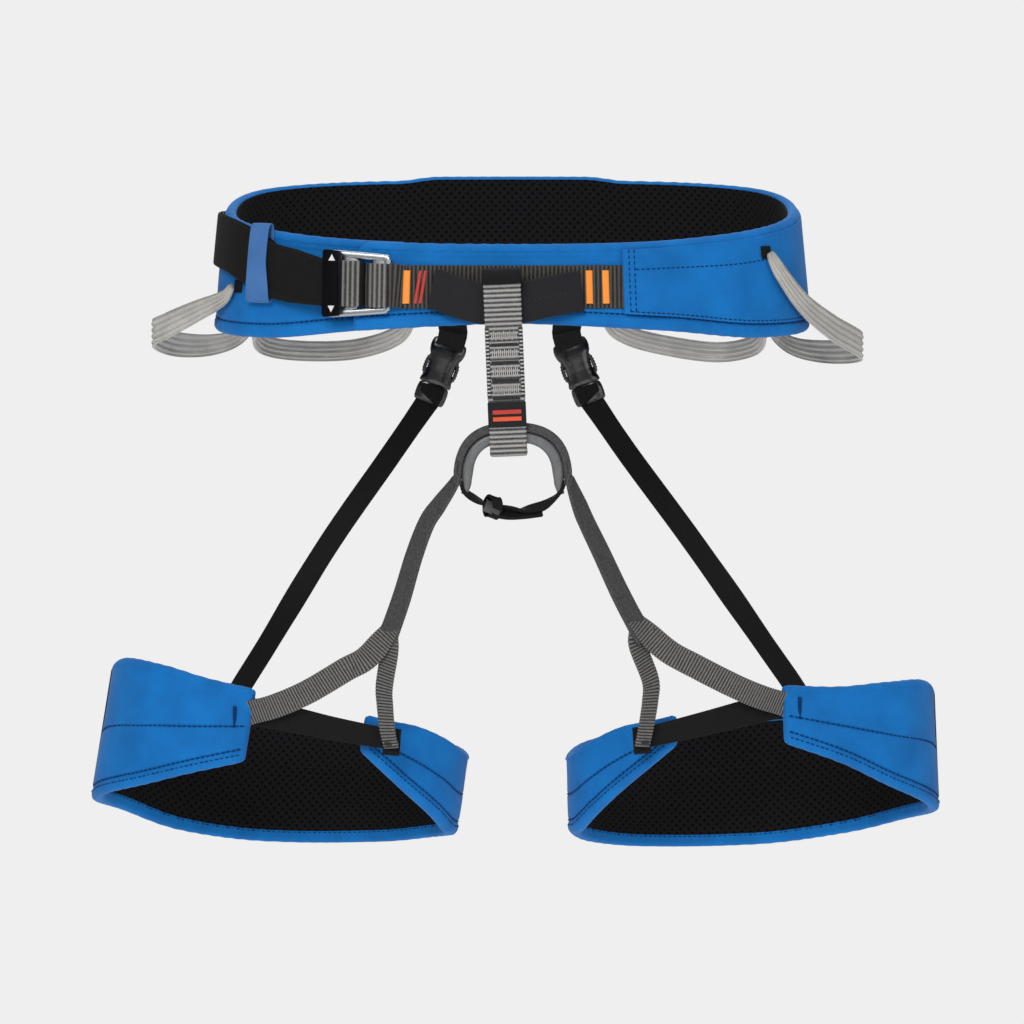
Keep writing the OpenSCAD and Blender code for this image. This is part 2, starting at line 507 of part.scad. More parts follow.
// The elastic is sewn round the hook's lower bar and runs down outside the back of the leg loop.
function riser_points(side) = side == left
  ? [[53.5, 95.8, -98], [57, 94.5, -103], [80, 90, -136], [121, 79, -191], [167, 68, -256], on_leg(side, 163, -298),
     on_leg(side, 162, -322)]
  : [[-56.5, 95.8, -98], [-60, 94.5, -103], [-83, 90, -136], [-123, 80, -193], [-163, 68, -258], on_leg(side, 161, -298),
     on_leg(side, 160, -322)];
function on_leg(side, t, z) = leg_ring(side, t, z, half_pad + 2.4);
module riser_strap(side) color(DARK) {
  path = curve(riser_points(side), 5);
  strap(path, riser_width, 1.4, [for (i = [0 : 30]) let (s = ease((i - 14) / 8)) [0.9, -side * 0.33 * s, 0.5 * -side]]);
}

// Patch that sews the riser to the back of the leg loop.
module riser_anchor(side) color(DARK)
  loft([for (i = [0 : 4]) let (t = (side == left ? 154 : 153) + 3 * i) [
    leg_ring(side, t, -348, half_pad + 0.3), leg_ring(side, t, -348, half_pad + 1.5),
    leg_ring(side, t, -326, half_pad + 1.5), leg_ring(side, t, -326, half_pad + 0.3)]]);

// ---------- nodes ----------

waist_shell();
waist_foam();
waist_lining();
waist_top_tape();
waist_bottom_tape();
side_cover();
waist_strap();
tie_in_webbing();
tie_in_sleeve();
tie_in_bartacks();
buckle_frame();
buckle_slider();
strap_keeper();
haul_loop();
gear_loop_tabs();
gear_loop(gear_front_left);  // gear_loop_front_left
gear_loop(gear_front_right);  // gear_loop_front_right
gear_loop(gear_rear_left);  // gear_loop_rear_left
gear_loop(gear_rear_right);  // gear_loop_rear_right
riser_tab(left);  // riser_tab_left
riser_tab(right);  // riser_tab_right
riser_socket(left);  // riser_socket_left
riser_socket(right);  // riser_socket_right
riser_hook(left);  // riser_hook_left
riser_hook(right);  // riser_hook_right
riser_strap(left);  // riser_strap_left
riser_strap(right);  // riser_strap_right
belay_loop();
belay_loop_bartacks();
belay_loop_label();
arch_webbing();
arch_sleeve();
link_strap();
link_slider();
leg_strap(upper_left, 1);  // leg_strap_left
leg_strap(upper_right, -1);  // leg_strap_right
leg_branch_outer(outer_left);  // leg_branch_outer_left
leg_branch_outer(outer_right);  // leg_branch_outer_right
leg_branch_inner(inner_left, 1);  // leg_branch_inner_left
leg_branch_inner(inner_right, -1);  // leg_branch_inner_right
leg_shell(left);  // leg_shell_left
leg_shell(right);  // leg_shell_right
leg_foam(left);  // leg_foam_left
leg_foam(right);  // leg_foam_right
leg_lining(left);  // leg_lining_left
leg_lining(right);  // leg_lining_right
leg_tape(left, true);  // leg_top_tape_left
leg_tape(right, true);  // leg_top_tape_right
leg_tape(left, false);  // leg_bottom_tape_left
leg_tape(right, false);  // leg_bottom_tape_right
leg_elastic(elastic_left);  // leg_elastic_left
leg_elastic(elastic_right);  // leg_elastic_right
riser_anchor(left);  // riser_anchor_left
riser_anchor(right);  // riser_anchor_right
leg_bartacks(left);  // leg_bartacks_left
leg_bartacks(right);  // leg_bartacks_right
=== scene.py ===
import bmesh
import bpy
import numpy as np
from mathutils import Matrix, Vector


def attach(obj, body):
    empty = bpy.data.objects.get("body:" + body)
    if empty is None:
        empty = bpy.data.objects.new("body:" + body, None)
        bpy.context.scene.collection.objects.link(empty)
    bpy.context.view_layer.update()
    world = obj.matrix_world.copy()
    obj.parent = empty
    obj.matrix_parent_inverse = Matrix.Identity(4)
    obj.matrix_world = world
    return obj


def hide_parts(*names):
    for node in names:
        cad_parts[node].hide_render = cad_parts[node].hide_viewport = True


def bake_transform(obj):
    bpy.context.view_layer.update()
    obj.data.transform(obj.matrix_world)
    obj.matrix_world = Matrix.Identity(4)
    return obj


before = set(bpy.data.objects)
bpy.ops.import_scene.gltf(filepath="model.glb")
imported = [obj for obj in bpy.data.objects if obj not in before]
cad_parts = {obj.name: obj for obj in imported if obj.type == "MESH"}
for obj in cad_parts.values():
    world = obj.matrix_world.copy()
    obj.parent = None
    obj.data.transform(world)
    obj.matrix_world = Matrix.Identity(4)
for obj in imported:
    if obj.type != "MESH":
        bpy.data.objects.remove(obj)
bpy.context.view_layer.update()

# ---------------------------------------------------------------- waist pad
# A long curved pad of foam between a stretch-woven shell and a perforated spacer mesh. The layers are
# laminated, trimmed together and bound along both edges. The front end laps outside the other one.

waist_half_width, waist_half_depth, waist_flare = 184, 90, 0.1
waist_start, waist_end = -26, 344       # angles of the pad's two ends, which overlap in front
pad_face = 3.6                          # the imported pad's outer face, from its middle line
half_pad = 3.3                          # the same for the sewn pad, before its puff
seam_radius = 0.42
sharpest_flat = 50                      # faces that meet at more than this angle keep a crisp edge


def ease(t):
    """3t^2 - 2t^3 between 0 and 1, flat outside."""
    t = np.clip(t, 0, 1)
    return t * t * (3 - 2 * t)


def bent(v, power):
    """|v| to a power, with the sign of v."""
    return np.sign(v) * np.abs(v) ** power


def rounding(d, r):
    """Height of a quarter circle of radius r at distance d from its foot, as a share of r."""
    return np.sqrt(1 - (1 - np.clip(d / r, 0, 1)) ** 2)


def knots(x, xs, ys):
    """Cubic Hermite curve through (xs, ys); the slope at a knot is that of the chord between its neighbours."""
    xs, ys = np.asarray(xs, float), np.asarray(ys, float)
    slope = np.empty_like(ys)
    slope[1:-1] = (ys[2:] - ys[:-2]) / (xs[2:] - xs[:-2])
    slope[0], slope[-1] = (ys[1] - ys[0]) / (xs[1] - xs[0]), (ys[-1] - ys[-2]) / (xs[-1] - xs[-2])
    i = np.clip(np.searchsorted(xs, x, "right") - 1, 0, len(xs) - 2)
    h = xs[i + 1] - xs[i]
    u = (x - xs[i]) / h
    return (ys[i] * (2 * u**3 - 3 * u**2 + 1) + ys[i + 1] * (3 * u**2 - 2 * u**3)
            + slope[i] * h * (u**3 - 2 * u**2 + u) + slope[i + 1] * h * (u**3 - u**2))


def lengths(points):
    """Distance along a row of points, from 0 at the first."""
    return np.concatenate([[0], np.cumsum(np.linalg.norm(np.diff(points, axis=0), axis=1))])


def skin(name, grid, loop=False):
    """Closed skin over grid[i, j]. j runs round each section, i along the piece, and the ends are closed to
    their middles unless the piece is a loop. The UV map is distance along and round, in metres."""
    n, k, _ = grid.shape
    i, j = (a.ravel() for a in np.meshgrid(np.arange(n if loop else n - 1), np.arange(k), indexing="ij"))
    i1, j1 = (i + 1) % n, (j + 1) % k
    quads = np.stack([i * k + j, i1 * k + j, i1 * k + j1, i * k + j1], 1)
    along = grid.mean(1)
    u = lengths(np.vstack([along, along[:1]]))
    v = lengths(np.vstack([grid[n // 2], grid[n // 2][:1]]))
    uv = np.stack([np.stack([u[a], v[b]], 1) for a, b in ((i, j), (i + 1, j), (i + 1, j + 1), (i, j + 1))], 1)
    points, faces, coordinates = grid.reshape(-1, 3), quads.tolist(), uv.reshape(-1, 2)
    if not loop:
        points = np.vstack([points, grid[0].mean(0), grid[-1].mean(0)])
        b = np.arange(k)
        first = np.stack([b, (b + 1) % k, np.full(k, n * k)], 1)
        last = np.stack([(b + 1) % k, b, np.full(k, n * k + 1)], 1) + np.array([(n - 1) * k, (n - 1) * k, 0])
        faces += first.tolist() + last.tolist()
        ends = [np.stack([np.full((k, 3), x), np.stack([v[b], v[b + 1], v[b]], 1)], 2) for x in (u[0], u[-2])]
        coordinates = np.vstack([coordinates] + [e.reshape(-1, 2) for e in ends])
    a, b, c, d = (points[quads[:, q]] for q in range(4))
    if np.sum(np.cross(c - a, d - b) * (a + b + c + d)) < 0:
        faces = [f[::-1] for f in faces]
        m = len(quads) * 4
        coordinates = np.vstack([coordinates[:m].reshape(-1, 4, 2)[:, ::-1].reshape(-1, 2),
                                 coordinates[m:].reshape(-1, 3, 2)[:, ::-1].reshape(-1, 2)])
    mesh = bpy.data.meshes.new(name)
    mesh.from_pydata((points * 0.001).tolist(), [], faces)
    mesh.uv_layers.new(name="UVMap").data.foreach_set("uv", (coordinates * 0.001).ravel())
    mesh.shade_smooth()
    mesh.set_sharp_from_angle(angle=np.radians(sharpest_flat))
    piece = bpy.data.objects.new(name, mesh)
    bpy.context.scene.collection.objects.link(piece)
    return piece


def fasten(piece, material, body, slot, *nodes):
    """Gives a piece its material and the body it moves with, and hides the imported nodes it stands for; slot is
    not used.
    """
    piece.data.materials.append(material)
    if body:
        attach(piece, body)
    if nodes:
        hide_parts(*nodes)
    return piece


def waist_power(t):
    """2 / n of the belt's outline |x/a|^n + |y/b|^n = 1, with n 2.4 in front and 3 at the back."""
    folded = np.mod(t, 360)
    folded = np.where(folded > 180, 360 - folded, folded)
    return 2 / (2.4 + 0.6 * ease((folded - 75) / 50)), folded


def waist_ring(t, z, out):
    """Point of the belt at angle t from the front and height z, out mm outside the padding's middle line.
    The half axes grow by 0.1 mm for each mm downwards."""
    p, _ = waist_power(t)
    s, c = np.sin(np.radians(t)), np.cos(np.radians(t))
    return np.stack(np.broadcast_arrays((waist_half_width - waist_flare * z + out) * bent(s, p),
                                        -(waist_half_depth - waist_flare * z + out) * bent(c, p),
                                        z + 0 * out * s), -1)


def waist_top(t):
    """Height of the belt's top edge, from 14 in front to about 52 in the middle of the back."""
    p, folded = waist_power(t)
    back = (1 - bent(np.cos(np.radians(t)), p)) / 2
    return 14 + 35.5 * back + 2.5 * np.sin(np.pi * back) + 2.5 * ease((folded - 164) / 8)


def waist_bottom(t):
    """Height of the belt's bottom edge."""
    _, folded = waist_power(t)
    return knots(folded, [-10, 0, 25, 50, 90, 135, 180, 190], [-34, -34, -39, -45, -43, -38, -36, -36])


def lap(t):
    """How far the front end stands outside the padding's middle line."""
    return 8 * (1 - ease((t - 18) / 24))


def spread_angles(ring, t0, t1, height, step):
    """Angles at equal distances along a ring, closer together at both ends."""
    t = np.linspace(t0, t1, 2000)
    s = lengths(ring(t, height(t), 0 * t))
    end = np.array([0, 0.15, 0.5, 1.0, 1.6, 2.4, 3.4])
    middle = np.linspace(4.8, s[-1] - 4.8, int(s[-1] / step))
    where = np.concatenate([end, middle, s[-1] - end[::-1]])
    return np.interp(where, s, t), where, s[-1]


def padded_band(name, ring, t0, t1, low, high, half, shift, seams, corner=(0, 0), step=2.2):
    """Pad of half thickness `half` on both sides of a ring. Half falls to nothing along a quarter circle at
    every edge, the outer face is crowned by a half sine, each seam (distance above the bottom, below the top or
    a share of the height; depth; last angle) is a Gaussian groove, and sines along the pad that fade away from the
    seams pucker the cloth."""
    t, s, total = spread_angles(ring, t0, t1, low, step)
    ends = np.minimum(s, total - s)
    lo = low(t) + corner[0] * (1 - rounding(ends, max(corner[0], 1)))
    hi = high(t) - corner[1] * (1 - rounding(ends, max(corner[1], 1)))
    near = np.array([0, 0.25, 0.7, 1.3, 2, 2.8, 3.7, 4.9, 6.1, 7, 7.6, 8.2, 8.8, 9.4, 10.3, 11.8])
    beside = np.array([-2.6, -1.5, -0.8, -0.3, 0.3, 0.8, 1.5, 2.6])
    between = np.linspace(0, 1, 18)[1:-1]
    tall = (hi - lo)[:, None]
    squeeze = np.minimum(1, tall / 26)
    rows = np.concatenate([lo[:, None] + near * squeeze,
                           lo[:, None] + 11.8 * squeeze + (tall - 23.6 * squeeze) * between,
                           hi[:, None] - near[::-1] * squeeze]
                          + [lo[:, None] + tall * share + beside
                             for side, share, _, _ in seams if side == "share"], 1)
    rows = np.sort(rows, axis=1)
    up, down = rows - lo[:, None], hi[:, None] - rows
    edge = rounding(np.minimum(up, down), 3.4) * rounding(ends, 3.4)[:, None]
    puff = 0.45 * np.sin(np.pi * np.clip(up / tall, 0, 1))
    along = s[:, None]
    sway = 0.4 * np.sin(along / 23 + 1.3 * np.sin(along / 61) + up / 14) * np.sin(np.pi * up / tall)
    front = half + puff + sway
    for side, distance, depth, until in seams:
        away = {"low": up, "high": down, "share": up - tall * distance}[side] - (side != "share") * distance
        sewn = (1 - ease((t - until) / 4))[:, None]
        front = front - depth * sewn * np.exp(-((away / 0.85) ** 2))
        ripple = np.sin(along / 1.35 + 2.1 * np.sin(along / 17)) * np.sin(along / 29 + 0.7)
        front = front + 0.24 * sewn * np.exp(-np.abs(away) / 3.2) * ripple
    outer = ring(t[:, None], rows, shift(t)[:, None] + front * edge)
    inner = ring(t[:, None], rows, shift(t)[:, None] - (half - 0.2) * edge)
    return skin(name, np.concatenate([outer, inner[:, -2:0:-1]], 1))


def edge_tape(name, ring, t0, t1, edge, side, width, inside_width, half, shift, step=1.6):
    """Tape folded over a pad's edge. side is 1 where the pad is above the edge and -1 where it is below. Both
    of its faces are quarter circles of slightly different radius run on into straight flanks, which reach
    further down outside or inside. Sines along the tape make it ripple between its stitches."""
    t, s, _ = spread_angles(ring, t0, t1, edge, step)
    start = np.array([0, 0.04, 0.13, 0.28, 0.48, 0.72, 1.0])
    flank = np.linspace(0, 1, 6)[1:]
    bend, bend_in = 2.9, min(2.9, inside_width * 0.6)
    share = np.concatenate([start * bend, bend + flank * max(width - bend, 0.1)])
    share_in = np.concatenate([start * bend_in,
                               bend_in + flank * max(inside_width - bend, inside_width * 0.4)])
    fold = np.concatenate([-share_in[::-1], share[1:]])
    wave = np.sin(s / 1.5 + 1.9 * np.sin(s / 13))[:, None] * (0.6 + 0.4 * np.sin(s / 31))[:, None]
    ripple = 1 + 0.07 * wave
    outside = np.sign(fold) * (half + 0.55) * rounding(np.abs(fold), 3.9) * ripple
    inside = np.sign(fold) * (half - 0.35) * rounding(np.abs(fold), 3.0) * ripple
    z_out = edge(t)[:, None] + side * (np.abs(fold) - 0.6 + 0.16 * wave)
    z_in = edge(t)[:, None] + side * (np.abs(fold) + 0.4)
    lip = shift(t)[:, None]
    return skin(name, np.concatenate([ring(t[:, None], z_out, lip + outside),
                                      ring(t[:, None], z_in, lip + inside)[:, ::-1]], 1))


def sheet_on(name, ring, t0, t1, low, high, out0, out1, step=3.0, rows=24):
    """Thin layer on a ring between two heights and two distances from its middle line, with rounded edges."""
    t, s, total = spread_angles(ring, t0, t1, low, step)
    lo, hi = low(t)[:, None], high(t)[:, None]
    share = (1 - np.cos(np.pi * np.linspace(0, 1, rows))) / 2
    z = lo + (hi - lo) * share
    middle, half = (out0(t) + out1(t))[:, None] / 2, (out1(t) - out0(t))[:, None] / 2
    edge = rounding(np.minimum(z - lo, hi - z), 0.5) * rounding(np.minimum(s, total - s), 0.5)[:, None]
    return skin(name, np.concatenate([ring(t[:, None], z, middle + half * edge),
                                      ring(t[:, None], z, middle - half * edge)[:, -2:0:-1]], 1))


def stitches(name, path, normal, stitch=2.7, space=0.7, radius=0.33, sink=0.1):
    """Row of stitches along a path: each is a thread that dives into the cloth at both ends, a tube of six
    sides whose middle line is a flat arch along the path, repeated every stitch + space."""
    s = lengths(path)
    count = max(int(s[-1] / (stitch + space)), 1)
    start = (np.arange(count) + 0.5) * s[-1] / count - stitch / 2
    u = np.linspace(0, 1, 6)
    at = start[:, None] + u * stitch
    spot = np.stack([np.interp(at, s, path[:, a]) for a in range(3)], -1)
    face = np.stack([np.interp(at, s, normal[:, a]) for a in range(3)], -1)
    face /= np.linalg.norm(face, axis=-1, keepdims=True)
    lay = np.gradient(spot, axis=1)
    lay /= np.linalg.norm(lay, axis=-1, keepdims=True)
    cross = np.cross(lay, face)
    arch = (np.sin(np.pi * u) ** 0.5 * 0.8 - 0.55)[None, :, None] * radius
    a = np.arange(6) * np.pi / 3
    r = radius * (0.45 + 0.55 * np.sin(np.pi * u) ** 0.5)[None, :, None, None]
    ring = spot[:, :, None] + face[:, :, None] * (arch[:, :, None] - sink + r * np.sin(a)[:, None]) \
        + cross[:, :, None] * r * np.cos(a)[:, None]
    return threads(name, ring)


def threads(name, ring):
    """One mesh of many short tubes from ring[tube, along, round]; the ends are closed with a hexagon."""
    m, n, k, _ = ring.shape
    i, j = (a.ravel() for a in np.meshgrid(np.arange(n - 1), np.arange(k), indexing="ij"))
    one = np.stack([i * k + j, i * k + (j + 1) % k, (i + 1) * k + (j + 1) % k, (i + 1) * k + j], 1)
    base = np.arange(m)[:, None, None] * n * k
    faces = (one[None] + base).reshape(-1, 4).tolist()
    caps = np.stack([np.arange(k)[::-1], (n - 1) * k + np.arange(k)])
    faces += (caps[None] + base).reshape(-1, k).tolist()
    p = ring.reshape(m, -1, 3)
    q = p[0]
    turned = np.sum(np.cross(q[one[:, 2]] - q[one[:, 0]], q[one[:, 3]] - q[one[:, 1]])
                    * (q[one].mean(1) - q.mean(0))) < 0
    if turned:
        faces = [f[::-1] for f in faces]
    mesh = bpy.data.meshes.new(name)
    mesh.from_pydata((p.reshape(-1, 3) * 0.001).tolist(), [], faces)
    mesh.shade_smooth()
    piece = bpy.data.objects.new(name, mesh)
    bpy.context.scene.collection.objects.link(piece)
    return piece


def colour(code):
    """sRGB hex value to linear RGBA: c / 12.92 below 0.04045, else ((c + 0.055) / 1.055)^2.4."""
    c = np.array([int(code[i:i + 2], 16) for i in (1, 3, 5)]) / 255
    c = np.where(c <= 0.04045, c / 12.92, ((c + 0.055) / 1.055) ** 2.4)
    return (*c.tolist(), 1.0)


def add(tree, kind, values=(), links=(), **settings):
    """Adds a node to a tree, with its settings, input values and links."""
    made = tree.nodes.new(kind)
    for key, value in settings.items():
        setattr(made, key, value)
    for key, value in dict(values).items():
        made.inputs[key].default_value = value
    for key, source in dict(links).items():
        tree.links.new(source, made.inputs[key])
    return made


def new_material(name, **values):
    """Empty material with one Principled shader, whose constant values are set on its own sockets."""
    material = bpy.data.materials.new(name)
    material.use_nodes = True
    tree = material.node_tree
    shader = next(x for x in tree.nodes if x.type == "BSDF_PRINCIPLED")
    for key, value in values.items():
        shader.inputs[key.replace("_", " ")].default_value = value
    return material, tree, shader


def stretch_shell(name, light, dark):
    """Four-way stretch polyamide weave: matt, slightly heathered, with a soft sheen at grazing angles.
    Threads are 0.5 mm apart; drawn at 0.9 mm so that they show."""
    material, tree, shader = new_material(name, Roughness=0.75, Sheen_Weight=0.08, Sheen_Roughness=0.45,
                                          Specular_IOR_Level=0.16)
    at = add(tree, "ShaderNodeTexCoord")
    weave_scale = 1000 / 0.9 / 6.283 * 3.1416
    warp = add(tree, "ShaderNodeTexWave",
               {"Scale": weave_scale, "Distortion": 1.2, "Detail": 1.0, "Detail Scale": 4.0},
               {"Vector": at.outputs["UV"]}, bands_direction="DIAGONAL")
    weft = add(tree, "ShaderNodeTexWave", {"Scale": weave_scale, "Distortion": 1.0, "Detail": 1.0},
               {"Vector": at.outputs["UV"]}, bands_direction="Y")
    weave = add(tree, "ShaderNodeMath", {}, {0: warp.outputs["Fac"], 1: weft.outputs["Fac"]},
                operation="MULTIPLY")
    mottle = add(tree, "ShaderNodeTexNoise", {"Scale": 45.0, "Detail": 4.0}, {"Vector": at.outputs["Object"]})
    fleck = add(tree, "ShaderNodeTexNoise", {"Scale": 900.0, "Detail": 2.0}, {"Vector": at.outputs["Object"]})
    both = add(tree, "ShaderNodeMath", {1: 0.35}, {0: fleck.outputs["Fac"], 2: mottle.outputs["Fac"]},
               operation="MULTIPLY_ADD")
    shade = add(tree, "ShaderNodeMapRange", {"From Min": 0.45, "From Max": 0.95}, {"Value": both.outputs[0]})
    mix = add(tree, "ShaderNodeMix", {"A": colour(dark), "B": colour(light)},
              {"Factor": shade.outputs["Result"]}, data_type="RGBA")
    bump = add(tree, "ShaderNodeBump", {"Strength": 0.35, "Distance": 0.00012}, {"Height": weave.outputs[0]})
    tree.links.new(mix.outputs["Result"], shader.inputs["Base Color"])
    tree.links.new(bump.outputs["Normal"], shader.inputs["Normal"])
    return material


blue_shell = stretch_shell("stretch_shell_blue", "#0e76c4", "#0c64ab")
thread_blue, _, _ = new_material("bonded_thread_navy", Roughness=0.6, Specular_IOR_Level=0.1,
                                 Base_Color=colour("#0a3468"))


def spacer_mesh(name, face):
    """Knitted polyester spacer mesh: matt black with round holes 1.6 mm wide in staggered rows 5.5 mm apart."""
    material, tree, shader = new_material(name, Roughness=0.85, Sheen_Weight=0.02, Specular_IOR_Level=0.1)
    at = add(tree, "ShaderNodeTexCoord")
    turned = add(tree, "ShaderNodeMapping", {"Rotation": (0, 0, 0.7854), "Scale": (255, 255, 255)},
                 {"Vector": at.outputs["UV"]})
    cells = add(tree, "ShaderNodeTexVoronoi", {"Scale": 1.0, "Randomness": 0.06},
                {"Vector": turned.outputs[0]}, voronoi_dimensions="2D")
    knit = add(tree, "ShaderNodeTexNoise", {"Scale": 1400.0, "Detail": 2.0}, {"Vector": at.outputs["Object"]})
    hole = add(tree, "ShaderNodeMapRange", {"From Min": 0.2, "From Max": 0.31},
               {"Value": cells.outputs["Distance"]})
    base = add(tree, "ShaderNodeMix", {"A": colour("#010102"), "B": colour(face)},
               {"Factor": hole.outputs["Result"]}, data_type="RGBA")
    height = add(tree, "ShaderNodeMath", {1: 0.18}, {0: knit.outputs["Fac"], 2: hole.outputs["Result"]},
                 operation="MULTIPLY_ADD")
    bump = add(tree, "ShaderNodeBump", {"Strength": 0.8, "Distance": 0.0007}, {"Height": height.outputs[0]})
    tree.links.new(base.outputs["Result"], shader.inputs["Base Color"])
    tree.links.new(bump.outputs["Normal"], shader.inputs["Normal"])
    return material


lining_mesh = spacer_mesh("spacer_mesh_black", "#151416")

waist_pad = padded_band("waist_pad", waist_ring, waist_start, waist_end, waist_bottom, waist_top,
                        half_pad, lap, [("low", 8.2, 0.9, 400), ("high", 8.2, 0.3, 400)], corner=(3, 9))
fasten(waist_pad, blue_shell, "waist", "blue_shell", "waist_shell", "waist_foam")

waist_lining = sheet_on("waist_lining_mesh", waist_ring, -24.5, 343.3, lambda t: waist_bottom(t) + 6,
                        lambda t: waist_top(t) - 1.3, lambda t: lap(t) - 4.1, lambda t: lap(t) - 2.9)
fasten(waist_lining, lining_mesh, "waist", "mesh_lining", "waist_lining")

top_tape = edge_tape("waist_top_tape_sewn", waist_ring, -22.5, 342.5, waist_top, -1, 4.4, 1.9, half_pad, lap)
fasten(top_tape, blue_shell, "waist", "blue_shell", "waist_top_tape")
bottom_tape = edge_tape("waist_bottom_tape_sewn", waist_ring, -25, 343, waist_bottom, 1, 7.0, 6.5,
                        half_pad, lap)
fasten(bottom_tape, blue_shell, "waist", "blue_shell", "waist_bottom_tape")


def seam_on(name, ring, t0, t1, height, out, side=1, **sizes):
    """Row of stitches on a ring at a height and a distance from its middle line, both functions of the angle,
    on its outside or, with side -1, its inside."""
    t = np.linspace(t0, t1, 1200)
    path = ring(t, height(t), out(t))
    face = ring(t, height(t), out(t) + side) - path
    return stitches(name, path, face, **sizes)


for name, t0, t1, height, out in (
        ("waist_seam_lower", -24.5, 342, lambda t: waist_bottom(t) + 8.2, lambda t: lap(t) + half_pad + 0.1),
        ("waist_seam_top", 122, 300, lambda t: waist_top(t) - 3.2, lambda t: lap(t) + half_pad + 0.5)):
    fasten(seam_on(name, waist_ring, t0, t1, height, out, radius=seam_radius), thread_blue, "waist",
           "blue_shell")

# ---------------------------------------------------------------- side cover
# A second panel of the shell cloth over the left hip, its edges turned under and topstitched. The tie-in
# webbing runs in under its front edge.

cover_start, cover_end = 16.3, 118


def cover_lift(t):
    """Rise of the cover over the webbing under its front edge, as a share: 1 at the edge, 0 from 29 degrees."""
    return 1 - ease((t - 20) / 9)


cover = sheet_on("side_cover_panel", waist_ring, cover_start, cover_end,
                 lambda t: waist_bottom(t) + 8.6, lambda t: waist_top(t) - 3.4,
                 lambda t: lap(t) + half_pad + 0.4 + 2.0 * cover_lift(t),
                 lambda t: lap(t) + half_pad + 1.7 + 2.2 * cover_lift(t), step=2.2)
fasten(cover, blue_shell, "waist", "blue_shell", "side_cover")


def cover_face(t):
    """Distance of the cover's outer face from the middle line."""
    return lap(t) + half_pad + 1.8 + 2.2 * cover_lift(t)


def upright_seam(name, t, bottom, top, out):
    """Row of stitches up the belt at one angle."""
    z = np.linspace(bottom, top, 80)
    path = waist_ring(np.full(80, t), z, np.full(80, out))
    face = waist_ring(np.full(80, t), z, np.full(80, out + 1)) - path
    return stitches(name, path, face, radius=seam_radius)


for name, t in (("cover_seam_front", 17.4), ("cover_seam_front_inner", 18.4)):
    fasten(upright_seam(name, t, -28, 12, float(cover_face(t))), thread_blue, "waist", "blue_shell")
for name, t0, t1, height in (
        ("cover_seam_top", 18.4, 60, lambda t: waist_top(t) - 16 - 2.5 * ease((t - 20) / 30)),
        ("cover_seam_low", 17.2, 117, lambda t: waist_bottom(t) + 10.3)):
    fasten(seam_on(name, waist_ring, t0, t1, height, cover_face, radius=seam_radius), thread_blue, "waist",
           "blue_shell")

# ---------------------------------------------------------------- webbing
# Woven nylon tapes. Ribs run across the load-bearing ones, 3.4 mm apart, because the thick weft threads are
# beaten up row by row; the edges are rounded selvedges. Flat black tapes have a fine herringbone instead.


def smooth_path(points, step=0.8, loop=False, extra=None):
    """Catmull-Rom curve through the points, at equal steps. extra is a second table carried along with it."""
    p = np.asarray(points, float)
    if extra is not None:
        p = np.hstack([p, np.asarray(extra, float).reshape(len(p), -1)])
    q = np.vstack([p[-1], p, p[0], p[1]]) if loop else np.vstack([2 * p[0] - p[1], p, 2 * p[-1] - p[-2]])
    u = np.linspace(0, 1, 30, endpoint=False)[None, :, None]
    a, b, c, d = (x[:, None] for x in (q[:-3], q[1:-2], q[2:-1], q[3:]))
    dense = 0.5 * (2 * b + (c - a) * u + (2 * a - 5 * b + 4 * c - d) * u**2 + (3 * b - a - 3 * c + d) * u**3)
    dense = np.vstack([dense.reshape(-1, p.shape[1]), p[:1] if loop else p[-1:]])
    s = lengths(dense[:, :3])
    at = np.linspace(0, s[-1], max(int(round(s[-1] / step)), 3) + 1)
    if loop:
        at = at[:-1]
    even = np.stack([np.interp(at, s, dense[:, k]) for k in range(p.shape[1])], 1)
    return even if extra is None else (even[:, :3], even[:, 3:])


def facing(path, up, loop=False):
    """Unit vectors along a path, out of the tape's face and across its width, where up is the width's way."""
    if loop:
        along = np.roll(path, -1, 0) - np.roll(path, 1, 0)
    else:
        along = np.gradient(path, axis=0)
    along /= np.linalg.norm(along, axis=1, keepdims=True)
    out = np.cross(along, np.broadcast_to(up, path.shape))
    out /= np.linalg.norm(out, axis=1, keepdims=True)
    return along, out, np.cross(out, along)


def webbing(name, path, width, thick, up, ribs=0.0, pitch=3.4, loop=False, furl=0.0):
    """Tape along a path. Its section is a flat superellipse, its faces rise and fall by `ribs` as a rounded
    sine of the distance along it, its edges scallop with them, and furl cups it across its width."""
    s = np.arange(len(path)) * np.linalg.norm(path[1] - path[0])
    along, out, across = facing(path, up, loop)
    if loop:
        pitch = (s[-1] + s[1]) / max(round((s[-1] + s[1]) / pitch), 1)
    a = np.concatenate([np.linspace(-0.9, 0.9, 13), [0.955, 0.985, 1, 0.985, 0.955],
                        np.linspace(0.9, -0.9, 13), [-0.955, -0.985, -1, -0.985, -0.955]])
    face = np.concatenate([np.ones(13), [0.86, 0.55, 0, -0.55, -0.86], -np.ones(13),
                           [-0.86, -0.55, 0, 0.55, 0.86]])
    crest = bent(np.sin(2 * np.pi * s / pitch), 0.7)[:, None]
    w = np.broadcast_to(width, len(path))[:, None] / 2 + min(ribs, 0.2) * crest
    h = thick / 2 + ribs * crest * (1 - np.abs(a) ** 8)
    if not loop:
        h = h * rounding(np.minimum(s, s[-1] - s), 1.0)[:, None]
    grid = path[:, None] + across[:, None] * (w * a)[..., None] \
        + out[:, None] * (h * face + furl * (a**2 - 0.4))[..., None]
    return skin(name, grid, loop)


